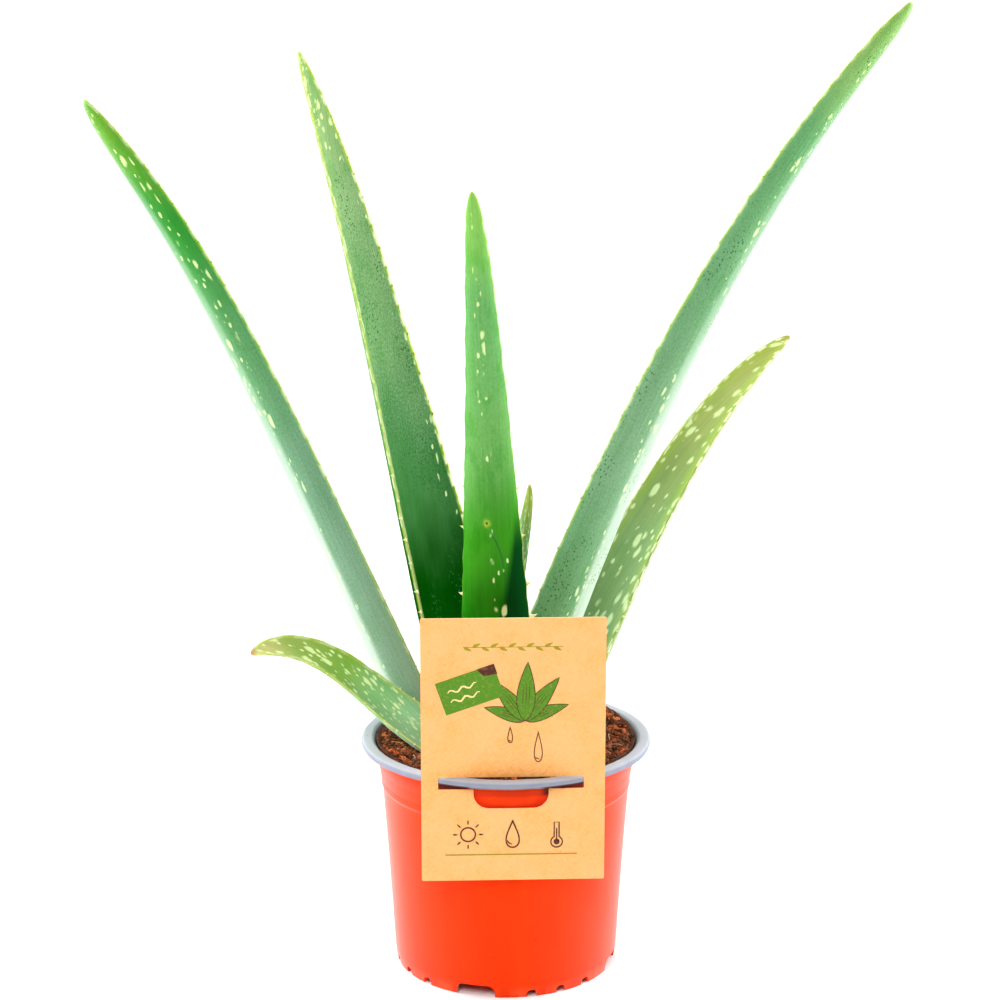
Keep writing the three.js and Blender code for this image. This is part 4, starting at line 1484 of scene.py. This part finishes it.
def ink_material(name, base):
    """Flat ink soaked into the board, so its fibres show through as uneven cover."""
    material, tree, shader = new_material("ink_" + name, Specular_IOR_Level=0.2)
    where = add(tree, "ShaderNodeTexCoord", "Object")
    soak = cloudy(where, 900.0, 4.0, 0.65)
    thin = tuple(0.82 * part + 0.18 * kraft for part, kraft in zip(base, KRAFT))
    colour = blended(soak.fade(0.5, 0.72), base, thin)
    finish_surface(shader, colour, 0.6 + soak * 0.2, soak, 0.02 * MM)
    return material


card_print = new_piece(
    "care_card_print",
    mesh_from("care_card_print", build_print),
    *[ink_material(name, base) for name, base in INKS.items()],
)
belongs(card_print, "kraft_card")

# ---- studio ----------------------------------------------------------------------------
# A white table in front of a bright white backdrop, with a dim room behind the lens. Broad
# soft lights stand on both sides, a little behind the plant, and one hangs high in front.
# Sizes in this section are in metres.
FRONT_GLOW, BACK_GLOW, SEEN_GLOW = 0.08, 1.35, 1.2
WHITE = (1.0, 1.0, 1.0)
TABLE = (-2, 2, -2, 1.5)
TABLE_WHITES = ((0.93, 0.93, 0.93), (0.96, 0.96, 0.96))
MIDDLE = (0.0, 0.0, 0.2)
SIDE_LIGHT = ((1.0, 1.4), 40)
HIGH_LIGHT = ((1.2, 0.9), 28)
CAMERA_AT = (-0.00238, -0.9304, 0.4164)
CAMERA_TILT = math.radians(76.702)
LENS, SENSOR = 85, 36


def studio_floor(bm):
    bm.faces.new([bm.verts.new((x, y, -0.02 * MM)) for x, y in bar(*TABLE)])


floor_material, floor_tree, floor_shader = new_material("studio_white", Specular_IOR_Level=0.1)
floor_where = add(floor_tree, "ShaderNodeTexCoord", "Object")
floor_mottle = cloudy(floor_where, 8.0, 2.0)
floor_colour = blended(floor_mottle, *TABLE_WHITES)
floor_roughness = 0.7 + floor_mottle * 0.1
finish_surface(floor_shader, floor_colour, floor_roughness, floor_mottle, 0.01 * MM)
floor = new_piece("studio_floor", mesh_from("studio_floor", studio_floor), floor_material)

world = bpy.data.worlds.new("studio")
bpy.context.scene.world = world
world.use_nodes = True
backdrop = world.node_tree
_, depth, _ = add(backdrop, "ShaderNodeTexCoord", "Generated").split()
glow = depth.fade(-0.75, 0.75, FRONT_GLOW, BACK_GLOW)
seen = add(backdrop, "ShaderNodeLightPath", "Is Camera Ray")
glow.plug(glow * (1 - seen) + seen * SEEN_GLOW, backdrop.nodes["Background"].inputs["Strength"])
glow.plug(WHITE, backdrop.nodes["Background"].inputs["Color"])


def soft_light(name, place, size, watts):
    """A broad soft light that faces the plant's middle."""
    lamp = bpy.data.lights.new(name, "AREA")
    lamp.shape = "RECTANGLE"
    lamp.size, lamp.size_y = size
    lamp.energy = watts
    light = bpy.data.objects.new(name, lamp)
    bpy.context.scene.collection.objects.link(light)
    light.location = place
    light.rotation_euler = (Vector(MIDDLE) - Vector(place)).to_track_quat("-Z", "Y").to_euler()


soft_light("left_side", (-1.5, 0.35, 0.6), *SIDE_LIGHT)
soft_light("right_side", (1.5, 0.35, 0.6), *SIDE_LIGHT)
soft_light("front_high", (-0.35, -1.5, 1.5), *HIGH_LIGHT)

camera = bpy.data.objects.new("camera", bpy.data.cameras.new("camera"))
bpy.context.scene.collection.objects.link(camera)
camera.location = CAMERA_AT
camera.rotation_euler = (CAMERA_TILT, 0, 0)
camera.data.lens = LENS
camera.data.sensor_width = SENSOR
bpy.context.scene.camera = camera
bpy.context.scene.view_settings.view_transform = "Standard"
